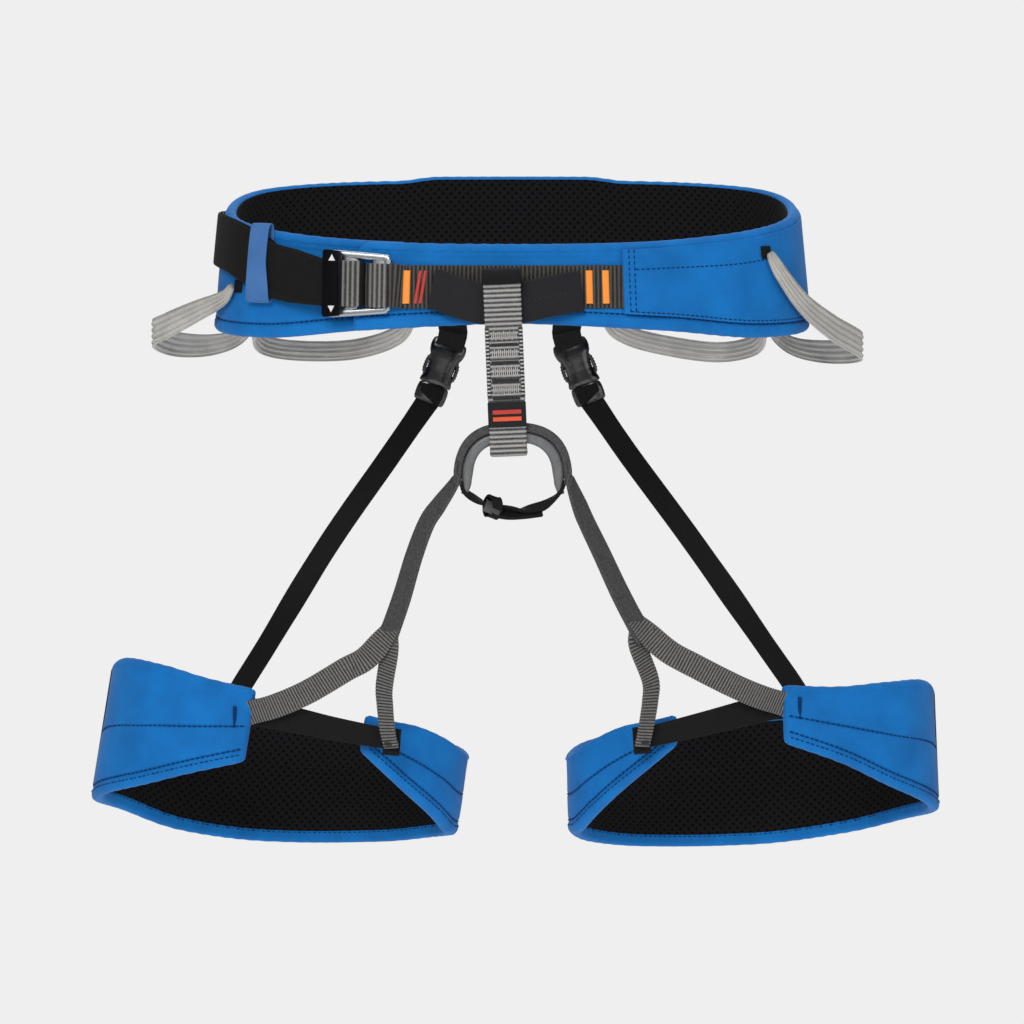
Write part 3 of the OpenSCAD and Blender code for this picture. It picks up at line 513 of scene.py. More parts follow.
def ribbed_nylon(name, valley_shade, crest, pitch=3.4):
    """Heavy ribbed nylon: the rib crests carry a painted highlight and the valleys painted shade, and each rib
    shows its own fine yarns
    0.6 mm apart. The rib pattern reads the distance along the tape, as the ribs in the mesh do."""
    material, tree, shader = new_material(name, Roughness=0.62, Sheen_Weight=0.03, Specular_IOR_Level=0.2)
    at = add(tree, "ShaderNodeTexCoord")
    split = add(tree, "ShaderNodeSeparateXYZ", {}, {"Vector": at.outputs["UV"]})
    phase = add(tree, "ShaderNodeMath", {1: 2 * np.pi * 1000 / pitch}, {0: split.outputs["X"]},
                operation="MULTIPLY")
    rib = add(tree, "ShaderNodeMath", {}, {0: phase.outputs[0]}, operation="SINE")
    yarn = add(tree, "ShaderNodeTexWave", {"Scale": 1000 / 0.6 / 2, "Distortion": 0.8, "Detail": 1.0},
               {"Vector": at.outputs["UV"]}, bands_direction="DIAGONAL")
    fleck = add(tree, "ShaderNodeTexNoise", {"Scale": 700.0, "Detail": 3.0}, {"Vector": at.outputs["Object"]})
    mixed = add(tree, "ShaderNodeMath", {1: 0.7}, {0: yarn.outputs["Fac"], 2: rib.outputs[0]},
                operation="MULTIPLY_ADD")
    flecked = add(tree, "ShaderNodeMath", {1: 1.1}, {0: fleck.outputs["Fac"], 2: mixed.outputs[0]},
                  operation="MULTIPLY_ADD")
    shade = add(tree, "ShaderNodeMapRange", {"From Min": -0.3, "From Max": 2.2},
                {"Value": flecked.outputs[0]})
    # The first colour is painted shade in the rib valleys and the second a painted highlight on the rib crests;
    # the yarns and flecks mixed in are the tape's own texture.
    mix = add(tree, "ShaderNodeMix", {"A": colour(valley_shade), "B": colour(crest)},
              {"Factor": shade.outputs["Result"]}, data_type="RGBA")
    bump = add(tree, "ShaderNodeBump", {"Strength": 0.5, "Distance": 0.0002}, {"Height": flecked.outputs[0]})
    tree.links.new(mix.outputs["Result"], shader.inputs["Base Color"])
    tree.links.new(bump.outputs["Normal"], shader.inputs["Normal"])
    return material


def flat_nylon(name, dark, light, across=1.1):
    """Flat herringbone nylon or knitted elastic: near black, with fine cords along the tape."""
    material, tree, shader = new_material(name, Roughness=0.7, Sheen_Weight=0.02, Specular_IOR_Level=0.12)
    at = add(tree, "ShaderNodeTexCoord")
    cords = add(tree, "ShaderNodeTexWave", {"Scale": 1000 / across / 2, "Distortion": 0.6, "Detail": 1.0},
                {"Vector": at.outputs["UV"]}, bands_direction="Y")
    fleck = add(tree, "ShaderNodeTexNoise", {"Scale": 600.0, "Detail": 3.0}, {"Vector": at.outputs["Object"]})
    both = add(tree, "ShaderNodeMath", {1: 0.8}, {0: fleck.outputs["Fac"], 2: cords.outputs["Fac"]},
               operation="MULTIPLY_ADD")
    shade = add(tree, "ShaderNodeMapRange", {"From Min": 0.3, "From Max": 1.6}, {"Value": both.outputs[0]})
    mix = add(tree, "ShaderNodeMix", {"A": colour(dark), "B": colour(light)},
              {"Factor": shade.outputs["Result"]}, data_type="RGBA")
    bump = add(tree, "ShaderNodeBump", {"Strength": 0.4, "Distance": 0.00012}, {"Height": both.outputs[0]})
    tree.links.new(mix.outputs["Result"], shader.inputs["Base Color"])
    tree.links.new(bump.outputs["Normal"], shader.inputs["Normal"])
    return material


black_flat = flat_nylon("flat_nylon_black", "#09090a", "#1e1e20")
black_knit = flat_nylon("knitted_elastic_black", "#0b0b0c", "#1b1b1b", across=1.6)
strap_black = flat_nylon("herringbone_nylon_black", "#070707", "#1f1e1d", across=1.5)


def wall_up(t):
    """Unit vector up the belt's leaning wall at an angle."""
    t = np.asarray(t, float)
    v = waist_ring(t, np.asarray(1.0), np.asarray(0.0)) - waist_ring(t, np.asarray(0.0), np.asarray(0.0))
    return v / np.linalg.norm(v)


buckle_at = np.array([-95.5, -98.9, -10])
buckle_turn, buckle_lean = np.radians(-12.4), -np.arctan(waist_flare) * 0.85
buckle_x = np.array([np.cos(buckle_turn), np.sin(buckle_turn), 0])
buckle_y = np.array([-np.sin(buckle_turn) * np.cos(buckle_lean), np.cos(buckle_turn) * np.cos(buckle_lean),
                     np.sin(buckle_lean)])
buckle_z = np.cross(buckle_x, buckle_y)


def at_buckle(p):
    """Points given as (along, inward, up) in the buckle's own frame."""
    p = np.asarray(p, float)
    return buckle_at + p[..., :1] * buckle_x + p[..., 1:2] * buckle_y + p[..., 2:3] * buckle_z


def tie_in_out(t):
    """The tie-in webbing stands 3 mm off the belt beside the buckle and 1.2 mm off it elsewhere."""
    return 3 - 1.8 * ease((t + 15.5) / 7)


tie_in_height = -11.8


def tie_in_at(t, out=0.0):
    """Point on the tie-in webbing's middle line, or so far outside it."""
    return waist_ring(t, tie_in_height + 0 * t, lap(t) + half_pad + 0.3 + tie_in_out(t) + out)


tie_points = np.vstack([
    at_buckle([[25, 2.5, -1], [18, 2.4, -1], [12, 2.3, -1], [7, 2, -1], [5.7, 0, -1],
               [7, -1.9, -1], [12, -2.3, -1], [18, -2.3, -1], [23.5, -1.8, -1]]),
    tie_in_at(np.arange(-15.5, 20.9, 2.6))])
tie_ups = np.array([buckle_z if x < -70 else wall_up(0) for x in tie_points[:, 0]])
path, ups = smooth_path(tie_points, 0.7, extra=tie_ups)
tie_in = webbing("tie_in_webbing_woven", path, 27, 1.7, ups, ribs=0.3, pitch=2.6)
# The second colour is a painted highlight on the rib crests, the first painted shade in the rib valleys.
fasten(tie_in, ribbed_nylon("ribbed_nylon_black", "#0b0b0c", "#56534f", 2.6), "waist", "grey_webbing",
       "tie_in_webbing")

strap_t = [-128, -114, -100, -88, -76, -64, -55, -47, -38, -30]
strap_z = [10, 13, 15, 15, 13.5, 10, 3.5, -4, -8.5, -9.5]
under_t, tail_t = np.arange(-123, -47, 5.0), np.arange(-48, -104, -5.0)
strap_points = np.vstack([
    waist_ring(under_t, knots(under_t, strap_t, strap_z), pad_face + 2.7 - 1.2 * ease((-under_t - 60) / 15)),
    at_buckle([[-17, 5.5, 0], [-10, 3.2, 0], [-2, 2.7, 0], [2, 2.2, 0], [3.4, 0.4, 0],
               [2, -1.8, 0], [-2, -2.6, 0], [-8, -2.7, 0], [-16, -2.7, 0], [-23, -2.6, 0]]),
    waist_ring(tail_t, knots(tail_t, strap_t, strap_z), pad_face + 5.6 - 1.7 * ease((-tail_t - 60) / 15))])
blend = np.clip((-strap_points[:, 0] - 118) / 30, 0, 1)[:, None]
strap_ups = buckle_z * (1 - blend) + np.array([0.1, 0.05, 1]) * blend
path, ups = smooth_path(strap_points, 1.0, extra=strap_ups)
strap_width = 28 + 5 * np.clip((-path[:, 0] - 118) / 20, 0, 1)
fasten(webbing("waist_strap_woven", path, strap_width, 1.7, ups, ribs=0.06, pitch=1.6), strap_black, "waist",
       "black_webbing", "waist_strap")

# ---------------------------------------------------------------- waist buckle
# A stamped and anodised aluminium frame with rolled edges. The tie-in webbing is sewn round its bar nearest
# the middle, and the strap comes up through the frame and is pinched by a black sliding bar.


def softened(node, radius, segments=3):
    """Copy of a hard part's mesh with its loose triangles merged, flat faces joined, and every edge sharper
    than 28 degrees rounded to a radius in mm."""
    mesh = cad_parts[node].data.copy()
    work = bmesh.new()
    work.from_mesh(mesh)
    bmesh.ops.remove_doubles(work, verts=work.verts, dist=2e-6)
    bmesh.ops.dissolve_limit(work, angle_limit=np.radians(1.5), verts=work.verts, edges=work.edges)
    work.to_mesh(mesh)
    work.free()
    mesh.materials.clear()
    mesh.shade_smooth()
    piece = bpy.data.objects.new(node + "_finished", mesh)
    bpy.context.scene.collection.objects.link(piece)
    bevel = piece.modifiers.new("rounded", "BEVEL")
    bevel.width, bevel.segments, bevel.limit_method = radius * 0.001, segments, "ANGLE"
    bevel.angle_limit, bevel.harden_normals = np.radians(28), True
    return piece


def satin_metal(name, base, roughness, grain):
    """Anodised aluminium: a hard satin face whose fine tumbling marks, drawn 0.4 mm long, blur its glints."""
    material, tree, shader = new_material(name, Metallic=1.0, Base_Color=colour(base))
    at = add(tree, "ShaderNodeTexCoord")
    marks = add(tree, "ShaderNodeTexNoise", {"Scale": 2500.0, "Detail": 3.0},
                {"Vector": at.outputs["Object"]})
    rub = add(tree, "ShaderNodeMapRange", {"To Min": roughness, "To Max": roughness + 0.16},
              {"Value": marks.outputs["Fac"]})
    bump = add(tree, "ShaderNodeBump", {"Strength": grain, "Distance": 0.00005},
               {"Height": marks.outputs["Fac"]})
    tree.links.new(rub.outputs["Result"], shader.inputs["Roughness"])
    tree.links.new(bump.outputs["Normal"], shader.inputs["Normal"])
    return material


anodised_silver = satin_metal("anodised_aluminium_silver", "#a9adb0", 0.2, 0.3)
anodised_black = satin_metal("anodised_aluminium_black", "#17171a", 0.3, 0.3)


def rod(name, path, wide, thick, up, loop=False):
    """Bar along a path whose section is a superellipse of exponent 2.6; wide and thick may change along it."""
    _, out, across = facing(path, up, loop)
    a = np.linspace(0, 2 * np.pi, 33)[:-1]
    w = np.broadcast_to(wide, len(path))[:, None, None] / 2 * bent(np.cos(a), 2 / 2.6)[None, :, None]
    h = np.broadcast_to(thick, len(path))[:, None, None] / 2 * bent(np.sin(a), 2 / 2.6)[None, :, None]
    return skin(name, path[:, None] + across[:, None] * w + out[:, None] * h, loop)


corners = np.array([[-18.8, 18.6], [18.6, 16.3], [18.6, -16.3], [-18.8, -18.6]])
inset = 3.2 * np.array([[[0, -1], [1, 0]], [[-1, 0], [0, -1]], [[0, 1], [-1, 0]], [[1, 0], [0, 1]]])
rounded = np.stack([corners + inset[:, 0], corners + 0.32 * inset.sum(1), corners + inset[:, 1]], 1)
rail_x, rail_z = rounded.reshape(-1, 2).T
rail = at_buckle(np.column_stack([rail_x, 0 * rail_x, rail_z]))
path = smooth_path(np.vstack([rail, rail[:1]]), 0.6)[:-1]
inward = np.cross(np.roll(path, -1, 0) - np.roll(path, 1, 0), buckle_y)
fasten(rod("buckle_frame_rail", path, 4.6, 3.0, inward, loop=True), anodised_silver, "waist", "buckle_metal",
       "buckle_frame")
for name, x, wide in (("buckle_frame_middle_bar", -6.0, 11.0), ("buckle_frame_end_bar", 13.5, 9.0)):
    path = smooth_path(at_buckle([[x, 0, -18.0], [x, 0, 0], [x, 0, 18.0]]), 0.8)
    fasten(rod(name, path, wide, 2.4, buckle_x), anodised_silver, "waist", "buckle_metal")
bar_cover = smooth_path(at_buckle([[-12.6, -3.9, 0], [-9, -4.2, 0], [-5, -4.25, 0],
                                   [-2, -4.0, 0], [0.4, -3.2, 0], [1.8, -1.6, 0]]), 0.5)
# The second colour is a painted highlight on the rib crests, the first painted shade in the rib valleys.
ribbed_grey = ribbed_nylon("ribbed_nylon_buckle", "#141415", "#8a8886", 3.1)
fasten(webbing("waist_strap_over_bar", bar_cover, 28.4, 1.1, buckle_z, ribs=0.42, pitch=3.1), ribbed_grey,
       "waist", "black_webbing")
end_cover = smooth_path(at_buckle([[8.0, -2.4, -1], [9.6, -3.5, -1], [13, -3.75, -1], [19.5, -3.8, -1]]), 0.5)
fasten(webbing("tie_in_webbing_over_bar", end_cover, 27.2, 0.9, buckle_z, ribs=0.42, pitch=3.1), ribbed_grey,
       "waist", "grey_webbing")
fasten(softened("buckle_slider", 0.55), anodised_black, "buckle_slider", "black_metal", "buckle_slider")

paint_white, _, _ = new_material("pad_print_white", Roughness=0.55, Base_Color=colour("#d9d9d6"))
for name, z0, z1 in (("slider_mark_top", 14.0, 18.0), ("slider_mark_bottom", -14.0, -18.0)):
    outline = np.array([[-17.6, z0], [-13.4, z0], [-15.5, z1]])
    grid = np.stack([at_buckle(np.column_stack([outline[:, 0], np.full(3, y), outline[:, 1]]))
                     for y in (-6.85, -7.0)])
    fasten(skin(name, grid), paint_white, "buckle_slider", "black_metal")

# ---------------------------------------------------------------- keeper
# A short band of the blue stretch cloth, doubled and sewn into a ring, that holds the strap's tail flat.

keeper_angle = -53.0
keeper_at = waist_ring(keeper_angle, 1.5, pad_face + 4.2)
keeper_along = waist_ring(keeper_angle + 3, 0.0, 0.0) - waist_ring(keeper_angle - 3, 0.0, 0.0)
keeper_along /= np.linalg.norm(keeper_along)
keeper_up = wall_up(keeper_angle)
keeper_out = np.cross(keeper_along, keeper_up)
turn = np.linspace(0, 2 * np.pi, 241)[:-1]
loop_points = keeper_at + keeper_up * (24.6 * bent(np.cos(turn), 0.55))[:, None] \
    + keeper_out * (3.5 * bent(np.sin(turn), 0.6))[:, None]
path = smooth_path(loop_points, 0.8, loop=True)
low_share = ease((keeper_at[2] + 4 - path[:, 2]) / 26)
path = path + keeper_along * (1.8 * low_share)[:, None]
keeper = webbing("strap_keeper_sewn", path, 14.5 + 3.6 * low_share, 1.1, keeper_along, loop=True, furl=-0.25)
fasten(keeper, stretch_shell("stretch_binding_dusty_blue", "#4a78b4", "#3b679f"), "waist", "keeper_elastic",
       "strap_keeper")

# ---------------------------------------------------------------- tie-in point
# A doubled strap in a black cover bows out of the belt webbing, for the rope and the belay loop. It is
# held at each end by bar tacks, dense blocks of coloured thread, and has a line of stitches down its middle.

sleeve_points = [[-50, -106.9, -12.8], [-44, -108.6, -14], [-34, -112.3, -17.5], [-20, -116, -21],
                 [-6, -117, -22], [7, -116, -20.5], [24, -112.8, -17], [37, -109, -14.8],
                 [43.5, -106.9, -14.1]]
covered = flat_nylon("coated_cover_cloth", "#19191b", "#2c2c2f", across=0.9)
path = smooth_path(sleeve_points, 0.8)
fasten(webbing("tie_in_sleeve_sewn", path, 25.5, 3.5, wall_up(0), ribs=0.03, pitch=2.0, furl=-0.5), covered,
       "waist", "tie_in_cover", "tie_in_sleeve")
along, out, _ = facing(path, wall_up(0))
thread_dark, _, _ = new_material("bonded_thread_charcoal", Roughness=0.55, Base_Color=colour("#101011"))
left_half = slice(len(path) * 9 // 16, len(path) - 8)
seam = stitches("tie_in_sleeve_seam", (path + out * 1.95)[left_half], out[left_half], stitch=2.6, radius=0.3)
fasten(seam, thread_dark, "waist", "tie_in_cover")


def satin(name, centre, lie, stack, reach, height, pitch=0.5, radius=0.3, waver=0.12):
    """Bar tack: threads of length `reach` along lie, packed along stack at the pitch. Each one is a low arch,
    a half sine high, and every other one is shifted a little along its length."""
    lie, stack = np.asarray(lie, float), np.asarray(stack, float)
    lie, stack = lie / np.linalg.norm(lie), stack / np.linalg.norm(stack)
    face = np.cross(lie, stack)
    count = int(height / pitch)
    row = (np.arange(count) - (count - 1) / 2) * pitch
    u = np.linspace(0, 1, 7)
    shift = waver * np.sin(np.arange(count) * 2.4)
    line = np.asarray(centre) + stack * row[:, None, None] \
        + lie * ((u - 0.5) * reach + shift[:, None])[..., None] \
        + face * (0.42 * np.sin(np.pi * u) ** 0.6)[None, :, None]
    a = np.arange(6) * np.pi / 3
    return threads(name, line[:, :, None] + radius * (face * np.sin(a)[:, None] + stack * np.cos(a)[:, None]))


def sewing_thread(name, base):
    """Bonded polyester thread: satin, with a gleam along each turn."""
    return new_material(name, Roughness=0.38, Sheen_Weight=0.2, Specular_IOR_Level=0.5,
                        Base_Color=colour(base))[0]


thread_orange = sewing_thread("polyester_thread_orange", "#ff9c2e")
thread_red = sewing_thread("polyester_thread_red", "#c8372a")
for number, (x, tilt, thread, wide) in enumerate(((-64.6, 0, thread_orange, 4.6), (-57.6, 8, thread_red, 1.9),
                                                  (-54.6, 8, thread_red, 1.9), (47.6, 0, thread_orange, 4.2),
                                                  (57.8, 0, thread_orange, 4.2))):
    t = np.degrees(np.arcsin(bent(x / 197.6, 1.2)))
    spot = tie_in_at(t, 1.05)
    lie = waist_ring(t + 1, tie_in_height, 0.0) - waist_ring(t - 1, tie_in_height, 0.0)
    lie /= np.linalg.norm(lie)
    stack = wall_up(t) + lie * np.tan(np.radians(tilt))
    fasten(satin(f"tie_in_bartack_{number}", spot, lie, stack, wide, 20.5), thread, "waist", "orange_thread",
           "tie_in_bartacks")

# ---------------------------------------------------------------- gear loops
# Moulded from a soft clear grey plastic, ridged along their length, and sewn into the belt at both ends under
# small tabs of black tape.


def moulded_loop(name, path, width, thick, swell):
    """Strip along a path: the section is a flat superellipse with four rounded ridges on both faces, narrow
    at the ends and broad in the middle as sin^swell of the share of its length."""
    s = np.linspace(0, 1, len(path))
    along = np.gradient(path, axis=0)
    along /= np.linalg.norm(along, axis=1, keepdims=True)
    out = np.cross(along, [0, 0, 1])
    out /= np.linalg.norm(out, axis=1, keepdims=True)
    across = np.cross(out, along)
    w = (4 + (width - 4) * np.sin(np.pi * s) ** swell)[:, None] / 2
    r = thick / 2 * (0.75 + 0.25 * np.sin(np.pi * s))[:, None]
    a = np.linspace(0, 2 * np.pi, 97)[:-1]
    side_way = bent(np.cos(a), 0.6)
    ridge = 1 - 0.8 * (0.5 + 0.5 * np.cos(8 * np.pi * side_way / 1.85)) * (np.abs(np.cos(a)) < 0.93)
    h = r * bent(np.sin(a), 0.45) * ridge
    return skin(name, path[:, None] + across[:, None] * (w * side_way)[..., None] + out[:, None] * h[..., None])


clear_grey, tree, shader = new_material("moulded_polyurethane_clear_grey", Roughness=0.17, IOR=1.5,
                                        Transmission_Weight=0.1, Coat_Weight=0.6, Coat_Roughness=0.08)
at = add(tree, "ShaderNodeTexCoord")
haze = add(tree, "ShaderNodeTexNoise", {"Scale": 60.0, "Detail": 3.0}, {"Vector": at.outputs["Object"]})
tint = add(tree, "ShaderNodeMix", {"A": colour("#989590"), "B": colour("#d6d3cd")},
           {"Factor": haze.outputs["Fac"]}, data_type="RGBA")
flow = add(tree, "ShaderNodeBump", {"Strength": 0.15, "Distance": 0.0003}, {"Height": haze.outputs["Fac"]})
tree.links.new(tint.outputs["Result"], shader.inputs["Base Color"])
tree.links.new(flow.outputs["Normal"], shader.inputs["Normal"])

gear_loops = {
    "front_left": ([55, 8], [125, -34], [[171, -60, -7], [186, -46, -26], [206, -20, -42], [227, 12, -56],
                                         [212, 36, -61], [190, 62, -60], [177, 76, -52]], 17),
    "front_right": ([-64, -14], [-125, -34], [[-184, -42, -22], [-202, -25, -31], [-222, -6, -41],
                                              [-233, 15, -48], [-221, 38, -56], [-199, 62, -58],
                                              [-181, 76, -52]], 17),
    "rear_left": ([129, -18], [169, -20], [[168, 92, -41], [169, 105, -54], [161, 116, -63], [138, 125, -67],
                                           [104, 126, -62.5], [78, 117, -55], [65, 105, -44]], 14),
    "rear_right": ([-129, -18], [-168, -20], [[-170, 92, -41], [-173, 105, -53], [-166, 116, -62],
                                              [-144, 125, -66], [-110, 126, -65.5], [-83, 117, -58],
                                              [-70, 105, -46]], 14)}
for side, (first, last, middle, broad) in gear_loops.items():
    ends = [waist_ring(float(t), float(z), pad_face + 5) for t, z in (first, last)]
    path = smooth_path(np.vstack([ends[0], middle, ends[1]]), 1.2)
    strip = moulded_loop(f"gear_loop_{side}_moulded", path, broad, 3.3, 0.55 if "front" in side else 0.26)
    fasten(strip, clear_grey, f"gear_{side}", "gear_loop_plastic", f"gear_loop_{side}")
    for end, (t, z) in (("a", first), ("b", last)):
        off = pad_face + (2.3 if cover_start < t < cover_end else 0.8)
        spot = waist_ring(float(t), float(z), off)
        rise = np.linspace(-4, 4, 13)[:, None] * wall_up(float(t))
        side_way = waist_ring(t + 2.0, float(z), 0.0) - waist_ring(t - 2.0, float(z), 0.0)
        tab = webbing(f"gear_tab_{side}_{end}", spot + rise, 7.5, 1.0, side_way, ribs=0.06, pitch=1.6)
        fasten(tab, black_flat, "waist", "black_webbing", "gear_loop_tabs")

# ---------------------------------------------------------------- haul loop
# A short loop of black tape in the middle of the back, sewn into the belt at both ends.

s = np.linspace(0, 1, 21)
path = waist_ring(176 + 8 * s, 8 - 26 * np.sin(np.pi * s) ** 0.7, 5.6 + 11 * np.sin(np.pi * s) ** 0.8)
path, ups = smooth_path(path, 0.8, extra=np.cross([0, 1, 0], np.gradient(path, axis=0)))
fasten(webbing("haul_loop_sewn", path, 10, 1.7, ups, ribs=0.08, pitch=2.2), black_flat, "haul_loop",
       "black_webbing", "haul_loop")

# ---------------------------------------------------------------- belay loop
# Several turns of ribbed nylon sewn into a ring: the strongest piece of a harness. Rows of bar tacks in pale
# thread lock the turns together, edge stitches bind them, and a dark sleeve with two coloured bars is sewn
# round them near the bottom.

belay_top, belay_bottom = np.array([-6.5, -117, -3]), np.array([-2, -117, -114])
belay_up = (belay_top - belay_bottom) / np.linalg.norm(belay_top - belay_bottom)
belay_side = np.cross([0, 1, 0], belay_up)
a = np.linspace(0, 2 * np.pi, 121)[:-1]
span = ((1 - np.cos(a)) / 2)[:, None]
loop_points = belay_bottom + (belay_top - belay_bottom) * span \
    + np.array([0, -1, 0]) * (9 * bent(np.sin(a), 0.45))[:, None]
path = smooth_path(loop_points, 0.6, loop=True)
# The second colour is a painted highlight on the rib crests, the first painted shade in the rib valleys.
belay_grey = ribbed_nylon("ribbed_nylon_belay", "#141415", "#b3b1b0", 2.9)
fasten(webbing("belay_loop_woven", path, 23, 3.3, belay_side, ribs=0.4, pitch=2.9, loop=True), belay_grey,
       "belay_loop", "grey_webbing", "belay_loop")


def belay_front(z, out, across=0.0):
    """Point on the front of the belay loop at a height, so far in front of its face and to the side."""
    rise = belay_top - belay_bottom
    return belay_bottom + rise * (z - belay_bottom[2]) / rise[2] \
        - np.array([0, 9 + 1.65 + out, 0]) + belay_side * across


thread_grey = sewing_thread("polyester_thread_grey", "#b5b4b3")
thread_black = sewing_thread("polyester_thread_black", "#0e0e0f")
for number, z in enumerate((-40.5, -51.5, -62.5, -73.5)):
    for row, (rise, reach, thread, pitch) in enumerate(((0, 4.8, thread_grey, 1.25),
                                                        (5.6, 2.0, thread_black, 0.6))):
        tack = satin(f"belay_bartack_{number}_{row}", belay_front(z - rise, 0.2), belay_up, -belay_side,
                     reach, 17.0, pitch, 0.33, 0.5 if row == 0 else 0.1)
        fasten(tack, thread, "belay_loop", "grey_thread", "belay_loop_bartacks")
for name, across in (("belay_edge_left", -10.4), ("belay_edge_right", 10.4)):
    fasten(satin(name + "_dark", belay_front(-57.0, 0.1, across), belay_side, belay_up, 2.5, 43.0, 0.62, 0.36),
           thread_black, "belay_loop", "grey_thread")
    fasten(satin(name, belay_front(-57.0, 0.35, across), belay_side, belay_up, 2.3, 43.0, 2.3, 0.55, 0.1),
           thread_grey, "belay_loop", "grey_thread")
over = np.linspace(-8.5, -4.5, 6)
cover_path = np.vstack([belay_front(over[:, None], 0.35),
                        belay_top + [[0, -8.6, 1.2], [0, -6.4, 2.6], [0, -3, 2.9], [0, 3, 2.9]]])
path = smooth_path(cover_path, 0.7)
fasten(webbing("belay_loop_top_fold", path, 24.6, 1.0, belay_side, ribs=0.1, pitch=2.2), black_flat,
       "belay_loop", "grey_webbing")
label_path = belay_front(np.linspace(-81.5, -97.0, 30)[:, None], 0.55)
fasten(webbing("belay_loop_label_sewn", label_path, 23.6, 0.9, belay_side, ribs=0.03, pitch=1.2), covered,
       "belay_loop", "woven_label", "belay_loop_label")
for name, z, thread in (("belay_mark_red", -87.5, thread_red),
                        ("belay_mark_orange", -91.8, sewing_thread("polyester_thread_vermilion", "#e9592c"))):
    fasten(satin(name, belay_front(z, 1.0), belay_up, -belay_side, 2.6, 17.5, 0.5, 0.3), thread, "belay_loop",
           "woven_label")

# ---------------------------------------------------------------- lower tie-in point
# The leg loops' webbing runs on through one arch. Inside it lies a smooth urethane tube that takes the rope's
# rubbing, and a thin elastic strap with a small slider closes the ring below.


def arch_point(a, out):
    """Superellipse arch with exponent 2.6: a is degrees from its top."""
    s, c = np.sin(np.radians(a)), np.cos(np.radians(a))
    return np.stack([0.5 + (28.5 + out) * bent(s, 2 / 2.6), -117 + 0 * s,
                     -131.5 + (28 + out) * bent(c, 2 / 2.6)], -1)


rope_guard, tree, shader = new_material("urethane_rope_guard_grey", Roughness=0.34, Specular_IOR_Level=0.55)
at = add(tree, "ShaderNodeTexCoord")
scuff = add(tree, "ShaderNodeTexNoise", {"Scale": 180.0, "Detail": 5.0}, {"Vector": at.outputs["Object"]})
tint = add(tree, "ShaderNodeMix", {"A": colour("#545557"), "B": colour("#727376")},
           {"Factor": scuff.outputs["Fac"]}, data_type="RGBA")
rub = add(tree, "ShaderNodeMapRange", {"To Min": 0.25, "To Max": 0.5}, {"Value": scuff.outputs["Fac"]})
tree.links.new(tint.outputs["Result"], shader.inputs["Base Color"])
tree.links.new(rub.outputs["Result"], shader.inputs["Roughness"])
path = smooth_path(np.vstack([[[-29.5, -117, -139.5]], arch_point(np.linspace(-92, 92, 61), 0.0),
                              [[30.5, -117, -139.5]]]), 0.8)
s = lengths(path)
girth = 7.6 * (0.55 + 0.45 * ease(np.minimum(s, s[-1] - s) / 16))
fasten(rod("arch_sleeve_moulded", path, girth, girth, [0, 1, 0]), rope_guard, "waist", "rope_guard",
       "arch_sleeve")
twill_grey = flat_nylon("twill_nylon_charcoal", "#0c0c0d", "#686868", across=1.4)
# The second colour is a painted highlight on the rib crests, the first painted shade in the rib valleys.
bind_grey = ribbed_nylon("ribbed_nylon_leg", "#0c0c0d", "#807e7c", 2.0)
path = smooth_path(arch_point(np.linspace(-92, 92, 61), 5.8), 0.7)
fasten(webbing("arch_webbing_woven", path, 12, 4.8, [0, 1, 0], ribs=0.16, pitch=1.5), twill_grey, "waist",
       "grey_webbing", "arch_webbing")

link_points = [[-32, -117, -131], [-29.5, -117, -137.5], [-22, -117.5, -143], [-15, -118, -146.3],
               [-8, -118, -149], [4, -118, -149.5], [17, -118, -147.5], [25, -117.5, -143],
               [30.5, -117, -137.5], [33, -117, -131]]
path = smooth_path(link_points, 0.7)
s = np.linspace(0, 1, len(path))
lean = 0.75 * np.sin(np.pi * s) * np.sin(3.3 * np.pi * s + 0.4)
ups = np.stack([0 * s, 1 - 0.4 * np.abs(lean), lean], 1)
fasten(webbing("link_strap_woven", path, 8, 2.3, ups, ribs=0.05, pitch=1.6), black_flat, "waist",
       "black_elastic", "link_strap")
acetal, tree, shader = new_material("moulded_acetal_black", Roughness=0.16, Specular_IOR_Level=0.8,
                                    Base_Color=colour("#0c0c0d"))
at = add(tree, "ShaderNodeTexCoord")
sink_marks = add(tree, "ShaderNodeTexNoise", {"Scale": 130.0, "Detail": 2.0},
                 {"Vector": at.outputs["Object"]})
gloss = add(tree, "ShaderNodeMapRange", {"To Min": 0.1, "To Max": 0.26}, {"Value": sink_marks.outputs["Fac"]})
dents = add(tree, "ShaderNodeBump", {"Strength": 0.25, "Distance": 0.0004},
            {"Height": sink_marks.outputs["Fac"]})
tree.links.new(gloss.outputs["Result"], shader.inputs["Roughness"])
tree.links.new(dents.outputs["Normal"], shader.inputs["Normal"])
fasten(softened("link_slider", 1.0, 4), acetal, "link_slider", "black_plastic", "link_slider")
tail = smooth_path([[-17, -119.5, -144.5], [-11, -121, -150.5], [-3, -120.3, -152.6], [8, -120, -152.2],
                    [19, -119.5, -150.8]], 0.7)
fasten(webbing("link_strap_tail", tail, 6.5, 2.1, [0, 0.85, 0.5], ribs=0.05, pitch=1.6), black_flat, "waist",
       "black_elastic")
turn = np.linspace(0, 2 * np.pi, 40)[:-1]
knot = np.array([-12, -118, -147.5]) + np.stack([3.2 * np.cos(turn), -7.3 * np.cos(turn - 0.5),
                                                 6.4 * np.sin(turn) + 1.2 * np.cos(turn)], 1)
path = smooth_path(knot, 0.6, loop=True)
fasten(webbing("link_strap_wrap", path, 6.5, 1.8, [0.93, 0, -0.36], ribs=0.05, pitch=1.6, loop=True),
       black_knit, "link_slider", "black_elastic")

# ---------------------------------------------------------------- leg webbing
# One strap runs down to each leg loop and forks: one branch to the outer end of the pad and one to the inner.


